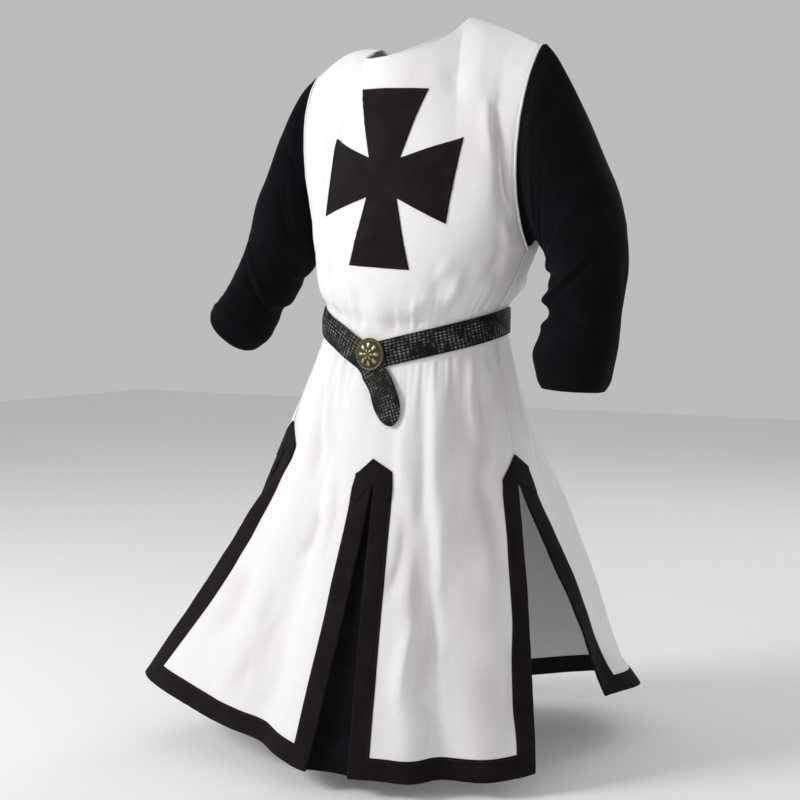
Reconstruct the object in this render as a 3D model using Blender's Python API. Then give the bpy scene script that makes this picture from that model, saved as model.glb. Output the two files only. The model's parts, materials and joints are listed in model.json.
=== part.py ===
"""A knight's surcoat as it hangs on its wearer, hollow and open at neck, cuffs and hem.

Front and back are two white panels that meet in side and shoulder seams and are
slit from the hem. Black sleeves leave the armholes, black bindings edge the
slits and the hem, a cross lies on the chest and a belt gathers the waist.

World frame in metres: the front looks along -Y, the wearer's left is +X, and
the origin is where the shoulders carry the cloth.
"""
import math
from collections import namedtuple

import bmesh
import bpy
from mathutils import Matrix, Vector

# Walls of the materials, and the gaps between pieces
CLOTH = 0.0020
TRIM = 0.0012
LEATHER = 0.0026
SEAM = 0.0003
EASE = 0.0006

# Middle of a trim that lies on a panel, from the panel's middle
WRAP = CLOTH / 2 + SEAM + TRIM / 2

# Heights of the body lines
ARMPIT_HEIGHT = -0.325
BELT_HEIGHT = -0.430
BELT_DIP = 0.052
BELT_DIP_RIGHT = 64.0
BELT_DIP_LEFT = 100.0

# The chest is turned to the wearer's right, and its middle lies a little to the left
CHEST_TURN = -8.0
CHEST_SHIFT = 0.014

# Shoulders and neck opening, in the chest's own frame
SHOULDER_REACH = 0.214
SHOULDER_HEIGHT = -0.037
NECK_REACH = 0.088
NECK_SHARE = 0.40
NECK_HEIGHT = 0.005
NECK_TILT = 0.013
NECK_FRONT = Vector((0.0, -0.090, -0.042))
NECK_BACK = Vector((0.0, 0.060, -0.024))
SHOULDER_HUMP = {1.0: 0.003, -1.0: 0.016}

# Handles of the curves that carry the columns from the armpit line to the top edge.
# Middle columns rise straight, armhole columns lean out and hang from the shoulder
MIDDLE_HANDLE = 0.110
ARMHOLE_OUT = 0.062
ARMHOLE_UP = 0.072
SHOULDER_HANG = 0.085
NECK_OUT = 0.016
NECK_DOWN = 0.080
SHOULDER_OVER = 0.058
ARMHOLE_FROM = 0.45

# Bindings, slits and skirt
BAND = 0.029
SLIT_GAP = 0.0045
BELT_SHARE = 0.052
HEM_SHARE = 0.952
HEM_CENTRE = Vector((-0.030, 0.0, 0.0))

# Gore: how far it reaches behind its bands, and how deep its middle falls back at the hem
GORE_OVERLAP = 0.7
GORE_RECESS = 0.010

# Grid of each panel. Rows run from the top edge over armpit line, belt and slit tips
HALF_COLUMNS = 12
TOP_ROWS = 10
WAIST_SHARES = (1.0, 0.78, 0.58, 0.40, 0.24, 0.0)
WAIST_ROWS = len(WAIST_SHARES) - 1
HIP_ROWS = 7
FLAP_ROWS = 11
TIP_ROW = TOP_ROWS + WAIST_ROWS + HIP_ROWS
HEM_ROW = TIP_ROW + FLAP_ROWS
LAST_ROW = HEM_ROW + 1
SLIT_COLUMN = HALF_COLUMNS

# Trunk, from the belt line (share 0) up to the armpit line (share 1)
Ring = namedtuple("Ring", "share half_width half_depth")
TRUNK = (
    Ring(0.00, 0.150, 0.116),
    Ring(0.24, 0.150, 0.116),
    Ring(0.40, 0.162, 0.128),
    Ring(0.58, 0.172, 0.132),
    Ring(0.78, 0.181, 0.131),
    Ring(1.00, 0.192, 0.128),
)

# Hem line, as world angle from the front, reach from the hem's centre, and height
Station = namedtuple("Station", "angle reach height")
HEM = (
    Station(-140.0, 0.285, -1.060),
    Station(-112.0, 0.298, -1.045),
    Station(-92.0, 0.305, -1.035),
    Station(-78.0, 0.326, -1.020),
    Station(-67.0, 0.345, -1.010),
    Station(-45.0, 0.286, -1.043),
    Station(-24.0, 0.252, -1.062),
    Station(-1.6, 0.250, -1.078),
    Station(20.0, 0.236, -1.083),
    Station(46.0, 0.246, -1.085),
    Station(73.0, 0.294, -1.078),
    Station(95.0, 0.315, -1.045),
    Station(117.0, 0.336, -1.027),
    Station(142.0, 0.405, -1.040),
    Station(163.0, 0.318, -1.060),
    Station(190.0, 0.278, -1.068),
)

# Seams, as world angles down the garment. Below its tip a seam opens into a slit,
# with one edge before it and one after it, in the sense of growing angle
Seam = namedtuple("Seam", "chest belt tip hem_before hem_after opens")
SEAMS = {
    "right": Seam(-98.0, -80.0, -56.0, -83.0, -67.0, 0.315),
    "front": Seam(-8.0, -2.0, 8.0, -1.6, 12.7, 0.30),
    "left": Seam(82.0, 84.0, 82.0, 73.0, 117.0, 0.357),
    "back": Seam(172.0, 178.0, 184.0, 182.0, 196.0, 0.35),
}
PANEL_SEAMS = {"front": ("right", "front", "left"), "back": ("left", "back", "right")}

# Folds of the waist and skirt. A fold that ends at level 3 runs out through the hem
Fold = namedtuple("Fold", "top_angle low_angle top_level low_level width depth")
FOLDS = (
    Fold(-38.0, -44.0, 2.15, 3.0, 9.0, 0.008),
    Fold(-20.0, -27.0, 2.07, 3.0, 7.0, -0.008),
    Fold(26.0, 34.0, 2.07, 3.0, 6.5, 0.008),
    Fold(44.0, 46.0, 2.06, 3.0, 8.0, -0.014),
    Fold(66.0, 58.0, 2.25, 3.0, 6.0, 0.006),
    Fold(112.0, 118.0, 2.07, 3.0, 8.0, -0.012),
    Fold(140.0, 146.0, 2.07, 3.0, 9.0, 0.014),
    Fold(160.0, 166.0, 2.07, 3.0, 8.0, -0.014),
    Fold(205.0, 212.0, 2.07, 3.0, 9.0, -0.013),
    Fold(226.0, 232.0, 2.10, 3.0, 8.0, 0.012),
    Fold(28.0, 24.0, 1.45, 1.73, 6.0, 0.005),
    Fold(46.0, 42.0, 1.30, 1.74, 6.5, 0.007),
    Fold(64.0, 60.0, 1.20, 1.73, 6.0, 0.006),
    Fold(-40.0, -36.0, 1.35, 1.73, 7.0, 0.005),
    Fold(120.0, 124.0, 1.25, 1.74, 9.0, 0.007),
    Fold(158.0, 156.0, 1.20, 1.74, 9.0, 0.008),
    Fold(198.0, 202.0, 1.25, 1.74, 9.0, 0.007),
    Fold(238.0, 234.0, 1.30, 1.74, 9.0, 0.006),
)

# Flaps that stand out from the skirt towards one corner, by their own reach at the hem
Kick = namedtuple("Kick", "panel half top_angle low_angle top_level width reach")
KICKS = (
    Kick("front", 0, -69.0, -69.0, 2.315, 17.0, 0.075),
    Kick("back", 0, 90.0, 127.0, 2.357, 7.5, 0.030),
)

# Folds above the armpit line, as share of the way from the middle to the armhole
Drape = namedtuple("Drape", "panel top_across low_across top_level low_level width depth")
DRAPES = (
    Drape("front", 0.84, 0.78, 0.20, 1.0, 0.10, -0.008),
    Drape("front", 0.62, 0.60, 0.10, 0.95, 0.16, 0.003),
    Drape("front", -0.84, -0.78, 0.25, 1.0, 0.10, -0.005),
    Drape("back", 0.60, 0.50, 0.20, 1.0, 0.13, -0.007),
    Drape("back", -0.60, -0.50, 0.20, 1.0, 0.13, -0.007),
    Drape("back", 0.05, 0.0, 0.35, 1.0, 0.12, -0.004),
)

# Sleeve rings from armhole to cuff: the outer and inner point of each, the
# depth of its middle and its half depth. x is the distance from the middle
SleeveRing = namedtuple("SleeveRing", "outer_x outer_z inner_x inner_z middle_y half_depth")
LEFT_SLEEVE = (
    SleeveRing(0.226, -0.037, 0.204, -0.325, -0.030, 0.052),
    SleeveRing(0.248, -0.062, 0.214, -0.316, -0.030, 0.060),
    SleeveRing(0.280, -0.122, 0.222, -0.320, -0.022, 0.066),
    SleeveRing(0.312, -0.200, 0.228, -0.330, -0.012, 0.068),
    SleeveRing(0.336, -0.275, 0.232, -0.348, -0.004, 0.064),
    SleeveRing(0.344, -0.345, 0.231, -0.380, -0.002, 0.059),
    SleeveRing(0.341, -0.410, 0.226, -0.418, -0.010, 0.055),
    SleeveRing(0.335, -0.470, 0.227, -0.470, -0.022, 0.052),
    SleeveRing(0.331, -0.530, 0.231, -0.524, -0.036, 0.051),
)
RIGHT_SLEEVE = (
    SleeveRing(0.198, -0.037, 0.176, -0.325, 0.028, 0.052),
    SleeveRing(0.222, -0.060, 0.187, -0.316, 0.026, 0.060),
    SleeveRing(0.250, -0.118, 0.196, -0.320, 0.022, 0.066),
    SleeveRing(0.274, -0.190, 0.204, -0.332, 0.016, 0.067),
    SleeveRing(0.295, -0.262, 0.212, -0.352, 0.008, 0.063),
    SleeveRing(0.312, -0.320, 0.227, -0.385, -0.006, 0.058),
    SleeveRing(0.328, -0.368, 0.246, -0.425, -0.024, 0.054),
    SleeveRing(0.336, -0.396, 0.262, -0.457, -0.042, 0.051),
    SleeveRing(0.346, -0.418, 0.277, -0.486, -0.058, 0.050),
)
SLEEVE_ROWS = 16
SLEEVE_LEAVES_OUT = 0.007
SLEEVE_LEAVES_UP = 0.003
SLEEVE_BLEND = 0.45

# Creases round the elbows: where along the sleeve, at what angle from the inner
# side round the front, and how long, wide and deep
Crease = namedtuple("Crease", "along angle length width depth")
CREASES = (
    Crease(0.74, 10.0, 0.045, 60.0, -0.010),
    Crease(0.66, 40.0, 0.035, 50.0, -0.005),
    Crease(0.58, -25.0, 0.040, 55.0, -0.005),
    Crease(0.83, 60.0, 0.035, 45.0, -0.004),
    Crease(0.45, 150.0, 0.060, 50.0, 0.005),
)

# Cross on the chest: its middle, how much it sags towards the left, and its arms,
# each by its reach, the half width of its end and how far that end leans
CROSS_ACROSS = 0.015
CROSS_HEIGHT = -0.2215
CROSS_SAG = 0.080
CROSS_WAIST = 0.029
Arm = namedtuple("Arm", "side reach half_end lean")
CROSS_ARMS = (
    Arm("left", 0.112, 0.062, 0.007),
    Arm("top", 0.131, 0.060, 0.0),
    Arm("right", 0.131, 0.060, 0.0),
    Arm("bottom", 0.131, 0.053, 0.0),
)

# Belt: its middle line, from the free tongue round the wearer's right side.
# Drop is the distance below the belt line, and over is the share of a strap's
# thickness by which it lies on the strap's other end
BELT_WIDTH = 0.040
BELT_STATIONS = 76
BeltRow = namedtuple("BeltRow", "along angle drop over")
BELT = (
    BeltRow(0.00, 15.0, 0.112, 1.0),
    BeltRow(0.05, 10.0, 0.076, 1.0),
    BeltRow(0.10, 3.5, 0.040, 1.0),
    BeltRow(0.14, -5.0, 0.014, 1.0),
    BeltRow(0.18, -18.0, 0.005, 1.0),
    BeltRow(0.22, -34.0, 0.001, 0.0),
    BeltRow(0.34, -90.0, 0.000, 0.0),
    BeltRow(0.50, -160.0, 0.000, 0.0),
    BeltRow(0.66, -220.0, 0.000, 0.0),
    BeltRow(0.82, -290.0, 0.000, 0.0),
    BeltRow(1.00, -360.0, 0.000, 0.0),
)

# Buckle: a domed disc, as radius and height from its back
BUCKLE_ANGLE = -2.0
BUCKLE_STEPS = 32
BUCKLE_PROFILE = (
    (0.0000, 0.0000),
    (0.0245, 0.0000),
    (0.0245, 0.0012),
    (0.0232, 0.0024),
    (0.0216, 0.0018),
    (0.0203, 0.0028),
    (0.0140, 0.0050),
    (0.0070, 0.0062),
    (0.0000, 0.0066),
)

FINISHES = {
    "white_cotton": ((0.80, 0.79, 0.78), 0.85, 0.0),
    "black_cotton": ((0.010, 0.010, 0.013), 0.80, 0.0),
    "black_binding": ((0.012, 0.010, 0.012), 0.75, 0.0),
    "black_leather": ((0.015, 0.013, 0.012), 0.40, 0.0),
    "antique_brass": ((0.30, 0.26, 0.17), 0.38, 0.9),
}


def mix(start, end, share):
    """Value a share of the way from start to end."""
    return start + (end - start) * share


def smooth(share):
    """Soft step from 0 to 1."""
    share = min(max(share, 0.0), 1.0)
    return share * share * (3.0 - 2.0 * share)


def curve_through(places, values, x):
    """Value at x of a smooth curve through values that stand at rising places."""
    last = len(places) - 1
    k = 0
    while k < last - 1 and x > places[k + 1]:
        k += 1
    span = places[k + 1] - places[k]
    t = min(max((x - places[k]) / span, 0.0), 1.0)
    before = max(k - 1, 0)
    after = min(k + 2, last)
    slope_in = (values[k + 1] - values[before]) / (places[k + 1] - places[before]) * span
    slope_out = (values[after] - values[k]) / (places[after] - places[k]) * span
    rise = values[k + 1] - values[k]
    bend = (slope_in - rise) * t * (1 - t) ** 2 - (slope_out - rise) * t * t * (1 - t)
    return values[k] + rise * t + bend


def read_straight(rows, place, column, x):
    """A column of a table at x, on straight lines between its rows."""
    for row, after in zip(rows, rows[1:]):
        start = getattr(row, place)
        end = getattr(after, place)
        if x <= end:
            break
    share = min(max((x - start) / (end - start), 0.0), 1.0)
    return mix(getattr(row, column), getattr(after, column), share)


def read(rows, place, column, x):
    """A column of a table at x, on a smooth curve through its rows."""
    places = [getattr(row, place) for row in rows]
    values = [getattr(row, column) for row in rows]
    return curve_through(places, values, x)


def read_round(rows, column, angle):
    """A column of a table whose rows go all the way round by angle."""
    ends = (rows[-2:], rows, rows[:2])
    places = []
    values = []
    for turn, part in enumerate(ends):
        for row in part:
            places.append(row.angle + 360.0 * (turn - 1))
            values.append(getattr(row, column))
    first = rows[0].angle
    return curve_through(places, values, first + (angle - first) % 360.0)


def wrapped(angle):
    """The same angle between -180 and 180."""
    return (angle + 180.0) % 360.0 - 180.0


def belt_height(angle):
    """Height of the belt line, which dips towards the buckle."""
    angle = wrapped(angle)
    reach = BELT_DIP_LEFT if angle > 0 else BELT_DIP_RIGHT
    share = max(0.0, 1.0 - abs(angle) / reach)
    return BELT_HEIGHT - BELT_DIP * share ** 1.25


def fold_offset(angle, level):
    """How far the cloth stands out or in at an angle and level, for its folds."""
    offset = 0.0
    for fold in FOLDS:
        share = (level - fold.top_level) / (fold.low_level - fold.top_level)
        if share <= 0.0 or share >= 1.0 and fold.low_level < 3.0:
            continue
        centre = mix(fold.top_angle, fold.low_angle, share)
        across = wrapped(angle - centre) / fold.width
        if fold.low_level < 3.0:
            swell = math.sin(math.pi * share) ** 1.5
        else:
            swell = smooth(share * 1.6)
        offset += fold.depth * swell * math.exp(-across * across)
    return offset


def trunk_point(angle, share):
    """Point of the trunk, from the belt line (share 0) to the armpit line (share 1)."""
    half_width = read_straight(TRUNK, "share", "half_width", share)
    half_depth = read_straight(TRUNK, "share", "half_depth", share)
    turn = math.radians(CHEST_TURN * share)
    local = math.radians(angle) - turn
    x = half_width * math.sin(local)
    y = -half_depth * math.cos(local)
    height = mix(belt_height(angle), ARMPIT_HEIGHT, share)
    turned_x = x * math.cos(turn) - y * math.sin(turn)
    turned_y = x * math.sin(turn) + y * math.cos(turn)
    return Vector((turned_x + CHEST_SHIFT * share, turned_y, height))


def hem_point(angle):
    """Point of the hem line at a world angle."""
    reach = read_round(HEM, "reach", angle)
    height = read_round(HEM, "height", angle)
    turn = math.radians(angle)
    out = Vector((math.sin(turn), -math.cos(turn), 0.0))
    return HEM_CENTRE + out * reach + Vector((0.0, 0.0, height))


def skin(angle, level):
    """Middle of the cloth at a world angle. Level 1 is the armpit line, 2 the belt, 3 the hem."""
    turn = math.radians(angle)
    out = Vector((math.sin(turn), -math.cos(turn), 0.0))
    if level <= 2.0:
        point = trunk_point(angle, 2.0 - level)
    else:
        share = level - 2.0
        waist = trunk_point(angle, 0.0)
        hem = hem_point(angle)
        flare = max(0.0, share - BELT_SHARE) / (1.0 - BELT_SHARE)
        point = mix(waist, hem, flare)
        point.z = mix(waist.z, hem.z, share)
    return point + out * fold_offset(angle, level)


def skin_normal(angle, level):
    """Direction that points out of the cloth."""
    step = 0.01
    round_way = skin(angle + 1.0, level) - skin(angle - 1.0, level)
    above = max(level - step, 1.0)
    below = min(level + step, 3.0)
    down = skin(angle, below) - skin(angle, above)
    return down.cross(round_way).normalized()


def flap_skin(panel, half, angle, level):
    """Middle of the cloth of one flap, which is the skin's but for the flap's own kick."""
    point = skin(angle, level)
    for kick in KICKS:
        share = (level - kick.top_level) / (3.0 - kick.top_level)
        if (kick.panel, kick.half) != (panel, half) or share <= 0.0:
            continue
        turn = math.radians(angle)
        across = wrapped(angle - mix(kick.top_angle, kick.low_angle, share)) / kick.width
        out = Vector((math.sin(turn), -math.cos(turn), 0.0))
        point = point + out * (kick.reach * share * smooth(share * 3.0) * math.exp(-across * across))
    return point


def flap_normal(panel, half, angle, level):
    """Direction that points out of one flap."""
    step = 0.01
    round_way = flap_skin(panel, half, angle + 1.0, level) - flap_skin(panel, half, angle - 1.0, level)
    above = flap_skin(panel, half, angle, max(level - step, 1.0))
    below = flap_skin(panel, half, angle, min(level + step, 3.0))
    return (below - above).cross(round_way).normalized()


def level_at(angle, height):
    """Level at which the skin has a height, below the armpit line."""
    line = belt_height(angle)
    if height >= line:
        return 2.0 - (height - line) / (ARMPIT_HEIGHT - line)
    return 2.0 + (line - height) / (line - hem_point(angle).z)


def from_chest(point):
    """World place of a point given in the chest's own frame."""
    turned = Matrix.Rotation(math.radians(CHEST_TURN), 3, "Z") @ point
    return turned + Vector((CHEST_SHIFT, 0.0, 0.0))


def top_edge(panel, across):
    """End of a column at the neckline or shoulder seam, and its curve's last handle."""
    facing = -1.0 if panel == "front" else 1.0
    side = 1.0 if across > 0 else -1.0
    if panel == "back":
        side = -side
    neck_height = NECK_HEIGHT + NECK_TILT * side
    neck_side = Vector((NECK_REACH * side, 0.006, neck_height))
    gap = Vector((0.0, facing * SEAM / 2, 0.0))
    over = Vector((0.0, facing * SHOULDER_OVER, 0.0))
    if abs(across) <= NECK_SHARE:
        turn = abs(across) / NECK_SHARE * math.pi / 2
        low = NECK_FRONT if panel == "front" else NECK_BACK
        low = low + Vector((0.0, 0.0, NECK_TILT * 0.3 * side * math.sin(turn)))
        rise = 1.0 - math.cos(turn)
        x = neck_side.x * math.sin(turn)
        y = mix(low.y, neck_side.y, rise)
        z = mix(low.z, neck_side.z, rise)
        down = Vector((0.0, facing * NECK_OUT, -NECK_DOWN))
        return Vector((x, y, z)) + gap, mix(down, over, rise)
    share = (abs(across) - NECK_SHARE) / (1.0 - NECK_SHARE)
    tip = Vector((SHOULDER_REACH * side, 0.0, SHOULDER_HEIGHT))
    point = mix(neck_side, tip, share)
    point.z += SHOULDER_HUMP[side] * math.sin(math.pi * share)
    return point + gap, over


def top_point(panel, angle, across, level):
    """Middle of the cloth above the armpit line, on a curve from there to the top edge."""
    facing = -1.0 if panel == "front" else 1.0
    start = skin(angle, 1.0)
    upward = (start - skin(angle, 1.05)).normalized()
    edge = smooth((abs(across) - ARMHOLE_FROM) / (1.0 - ARMHOLE_FROM))
    inner_handle = upward * MIDDLE_HANDLE
    armhole_handle = Vector((0.0, facing * ARMHOLE_OUT, ARMHOLE_UP))
    armhole_handle = Matrix.Rotation(math.radians(CHEST_TURN), 3, "Z") @ armhole_handle
    start_handle = start + mix(inner_handle, armhole_handle, edge)
    local_end, local_handle = top_edge(panel, across)
    fall = Vector((0.0, facing * 0.004, -SHOULDER_HANG)) * edge
    end = from_chest(local_end)
    end_handle = from_chest(local_end + local_handle + fall * 0.75)
    t = 1.0 - level
    point = start * (1 - t) ** 3
    point += start_handle * (3 * t * (1 - t) ** 2)
    point += end_handle * (3 * t * t * (1 - t))
    point += end * t ** 3
    offset = 0.0
    for drape in DRAPES:
        share = (level - drape.top_level) / (drape.low_level - drape.top_level)
        if drape.panel != panel or share <= 0.0 or share >= 1.0:
            continue
        centre = mix(drape.top_across, drape.low_across, share)
        gone = (across - centre) / drape.width
        offset += drape.depth * math.sin(math.pi * share) * math.exp(-gone * gone)
    turn = math.radians(angle)
    return point + Vector((math.sin(turn), -math.cos(turn), 0.0)) * offset


def top_normal(panel, angle, across, level):
    """Direction that points out of the cloth above the armpit line."""
    step = 0.02
    angle_step = 90.0 * step
    near = max(-1.0, across - step)
    far = min(1.0, across + step)
    before = top_point(panel, angle + (near - across) / step * angle_step, near, level)
    after = top_point(panel, angle + (far - across) / step * angle_step, far, level)
    above = top_point(panel, angle, across, max(level - step, 0.0))
    below = top_point(panel, angle, across, min(level + step, 1.0))
    return (below - above).cross(after - before).normalized()


def seam_angle(name, level, after):
    """World angle of a seam, or of one edge of its slit below the tip."""
    seam = SEAMS[name]
    if level <= 2.0:
        return mix(seam.chest, seam.belt, max(level - 1.0, 0.0))
    share = level - 2.0
    if share <= seam.opens:
        return mix(seam.belt, seam.tip, share / seam.opens)
    fall = (share - seam.opens) / (1.0 - seam.opens)
    if after:
        return mix(seam.tip, seam.hem_after, fall)
    return mix(seam.tip, seam.hem_before, fall)


def row_level(row, opens):
    """Level of a grid row where the slits of that column begin at the share opens."""
    if row <= TOP_ROWS:
        return row / TOP_ROWS
    row -= TOP_ROWS
    if row <= WAIST_ROWS:
        return 2.0 - WAIST_SHARES[row]
    row -= WAIST_ROWS
    if row <= HIP_ROWS:
        return 2.0 + opens * row / HIP_ROWS
    row -= HIP_ROWS
    if row <= FLAP_ROWS:
        return 2.0 + mix(opens, HEM_SHARE, row / FLAP_ROWS)
    return 3.0


def spot(panel, column, row, half):
    """Middle of the cloth and its normal at a place of the panel's grid.

    half is 0 for the half before the slit and 1 for the one after it.
    """
    names = PANEL_SEAMS[panel]
    local = column - half * HALF_COLUMNS
    first = names[half]
    second = names[half + 1]
    turn = 360.0 if panel == "back" and half == 1 else 0.0
    opens = mix(SEAMS[first].opens, SEAMS[second].opens, local / HALF_COLUMNS)
    level = row_level(row, opens)
    ring_level = max(level, 1.0)
    start = seam_angle(first, ring_level, True)
    end = seam_angle(second, ring_level, False) + turn
    slit = SLIT_GAP if row > TIP_ROW else 0.0
    start_gap = slit if half == 1 else max(slit, SEAM)
    end_gap = slit if half == 0 else max(slit, SEAM)
    per_degree_start = (skin(start + 1.0, ring_level) - skin(start, ring_level)).length
    per_degree_end = (skin(end, ring_level) - skin(end - 1.0, ring_level)).length
    outer_start = start + start_gap / 2 / per_degree_start
    outer_end = end - end_gap / 2 / per_degree_end
    inner_start = outer_start + BAND / per_degree_start
    inner_end = outer_end - BAND / per_degree_end
    if local == 0:
        angle = outer_start
    elif local == HALF_COLUMNS:
        angle = outer_end
    else:
        angle = mix(inner_start, inner_end, (local - 1) / (HALF_COLUMNS - 2))
    if level >= 1.0:
        return flap_skin(panel, half, angle, level), flap_normal(panel, half, angle, level)
    middle = seam_angle(names[1], 1.0, True)
    across = max(-1.0, min(1.0, (angle - middle) / 90.0))
    if abs(across) > 0.995:
        across = math.copysign(1.0, across)
    point = top_point(panel, angle, across, level)
    if row == 0 and abs(across) >= NECK_SHARE:
        side = 1.0 if across > 0 else -1.0
        if panel == "back":
            side = -side
        slope = Vector((SHOULDER_REACH - NECK_REACH, 0.0, SHOULDER_HEIGHT - NECK_HEIGHT))
        up = Vector((-slope.z * side, 0.0, slope.x)).normalized()
        return point, from_chest(up) - from_chest(Vector())
    return point, top_normal(panel, angle, across, level)


def thicken(bm):
    """Gives a flat sheet a second layer one unit below it, and closes its rim."""
    made = bmesh.ops.extrude_face_region(bm, geom=bm.faces[:], use_keep_orig=True)
    lower = [item for item in made["geom"] if isinstance(item, bmesh.types.BMVert)]
    bmesh.ops.translate(bm, verts=lower, vec=(0.0, 0.0, -1.0))


def flat_grid(columns, rows):
    """Flat grid whose vertices stand at whole numbers, x by column and y by row."""
    bm = bmesh.new()
    bmesh.ops.create_grid(bm, x_segments=columns, y_segments=rows, size=0.5)
    bmesh.ops.translate(bm, verts=bm.verts, vec=(0.5, 0.5, 0.0))
    bmesh.ops.scale(bm, verts=bm.verts, vec=(columns, rows, 1.0))
    return bm


def cut_quads(bm, falls):
    """Cuts each grid cell of a thickened sheet into two triangles along one diagonal.

    The diagonal rises with column and row, or falls where falls(column, row) says
    so. Pieces that lie on each other then have the same faces.
    """
    for face in bm.faces[:]:
        if len(face.verts) != 4 or abs(face.normal.z) < 0.5:
            continue
        corners = sorted(face.verts, key=lambda v: v.co.x + v.co.y)
        low, side, other, high = corners
        cell = face.calc_center_median()
        if falls(int(cell.x), int(cell.y)):
            bmesh.utils.face_split(face, side, other)
        else:
            bmesh.utils.face_split(face, low, high)


def finish(bm, name, finish_name):
    """Makes the object of a finished bmesh, with its material."""
    bmesh.ops.recalc_face_normals(bm, faces=bm.faces)
    if bm.calc_volume(signed=True) < 0.0:
        bmesh.ops.reverse_faces(bm, faces=bm.faces)
    mesh = bpy.data.meshes.new(name)
    bm.to_mesh(mesh)
    bm.free()
    mesh.shade_smooth()
    mesh.set_sharp_from_angle(angle=math.radians(50.0))
    mesh.materials.append(material(finish_name))
    piece = bpy.data.objects.new(name, mesh)
    bpy.context.scene.collection.objects.link(piece)
    return piece


def material(name):
    """Plain material of a finish, made once."""
    made = bpy.data.materials.get(name)
    if made:
        return made
    colour, roughness, metallic = FINISHES[name]
    made = bpy.data.materials.new(name)
    made.use_nodes = True
    shader = made.node_tree.nodes["Principled BSDF"]
    shader.inputs["Base Color"].default_value = (*colour, 1.0)
    shader.inputs["Roughness"].default_value = roughness
    shader.inputs["Metallic"].default_value = metallic
    made.diffuse_color = (*colour, 1.0)
    return made


def never(column, row):
    """Lets every cell keep its rising diagonal."""
    return False


def wall(name, columns, rows, place, thickness, finish_name, falls=never):
    """Closed wall over a grid. place gives the middle and normal for a column and row."""
    bm = flat_grid(columns, rows)
    thicken(bm)
    cut_quads(bm, falls)
    for vertex in bm.verts:
        point, normal = place(round(vertex.co.x), round(vertex.co.y))
        vertex.co = point + normal * (thickness * (0.5 + vertex.co.z))
    return finish(bm, name, finish_name)


def panel_piece(panel):
    """Front or back, cut from top edge to hem, with its slit up the middle."""
    bm = flat_grid(2 * HALF_COLUMNS, LAST_ROW)
    slit = []
    for edge in bm.edges:
        on_slit = all(round(v.co.x) == SLIT_COLUMN for v in edge.verts)
        if on_slit and min(v.co.y for v in edge.verts) > TIP_ROW - 0.5:
            slit.append(edge)
    bmesh.ops.split_edges(bm, edges=slit)
    for vertex in bm.verts:
        if round(vertex.co.x) == SLIT_COLUMN and vertex.co.y > TIP_ROW + 0.5:
            centre = vertex.link_faces[0].calc_center_median()
            vertex.co.x += 0.25 if centre.x > SLIT_COLUMN else -0.25
    thicken(bm)
    cut_quads(bm, never)
    for vertex in bm.verts:
        half = 1 if vertex.co.x > SLIT_COLUMN + 0.1 else 0
        point, normal = spot(panel, round(vertex.co.x), round(vertex.co.y), half)
        vertex.co = point + normal * (CLOTH * (0.5 + vertex.co.z))
    return finish(bm, panel, "white_cotton")


def slit_edge(panel, half, at_start, row):
    """Edge of a flap, the point one band's width in from it, and both normals."""
    edge_column = 0 if at_start else HALF_COLUMNS
    next_column = 1 if at_start else HALF_COLUMNS - 1
    first = half * HALF_COLUMNS
    edge, edge_normal = spot(panel, first + edge_column, row, half)
    inside, inside_normal = spot(panel, first + next_column, row, half)
    return edge, edge_normal, inside, inside_normal


def wrap_station(station, edge, edge_normal, inside, inside_normal, along):
    """One of the four corners of a binding's folded section, and its offset direction.

    along is the direction of the cut edge. Where the edge runs slantwise to the
    section, the fold reaches further past it.
    """
    inward = (inside - edge).normalized()
    reach = inward / max(inward.cross(along.normalized()).length, 0.5)
    if station == 0:
        return inside + inside_normal * WRAP, inside_normal
    if station == 1:
        return edge - reach * WRAP + edge_normal * WRAP, edge_normal - reach
    if station == 2:
        return edge - reach * WRAP - edge_normal * WRAP, -edge_normal - reach
    return inside - inside_normal * WRAP, -inside_normal


def slit_binding(name, panel, half, at_start):
    """Black strip folded round the edge of a slit, from below the peak to the hem."""
    first_row = TIP_ROW + 1
    rows = LAST_ROW - first_row

    def place(station, step):
        row = first_row + step
        upper = max(row - 1, first_row)
        lower = min(row + 1, LAST_ROW)
        section = slit_edge(panel, half, at_start, row)
        along = slit_edge(panel, half, at_start, lower)[0] - slit_edge(panel, half, at_start, upper)[0]
        corner, direction = wrap_station(station, *section, along)
        if row == LAST_ROW:
            corner = corner + along.normalized() * (WRAP + TRIM / 2)
        return corner, direction

    def falls(station, step):
        return station == (0 if at_start else 2)

    return wall(name, 3, rows, place, TRIM, "black_binding", falls)


def hem_binding(name, panel, half):
    """Black strip folded round the hem of one flap, between the slit bindings."""
    first = half * HALF_COLUMNS + 1
    columns = HALF_COLUMNS - 2

    def place(step, station):
        column = first + step
        edge, edge_normal = spot(panel, column, LAST_ROW, half)
        inside, inside_normal = spot(panel, column, HEM_ROW, half)
        along = spot(panel, column + 1, LAST_ROW, half)[0] - spot(panel, column - 1, LAST_ROW, half)[0]
        corner, direction = wrap_station(station, edge, edge_normal, inside, inside_normal, along)
        if step == 0:
            corner = corner + along.normalized() * EASE
        if step == columns:
            corner = corner - along.normalized() * EASE
        return corner, direction

    def falls(step, station):
        return station == 2

    return wall(name, columns, 3, place, TRIM, "black_binding", falls)


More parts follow.
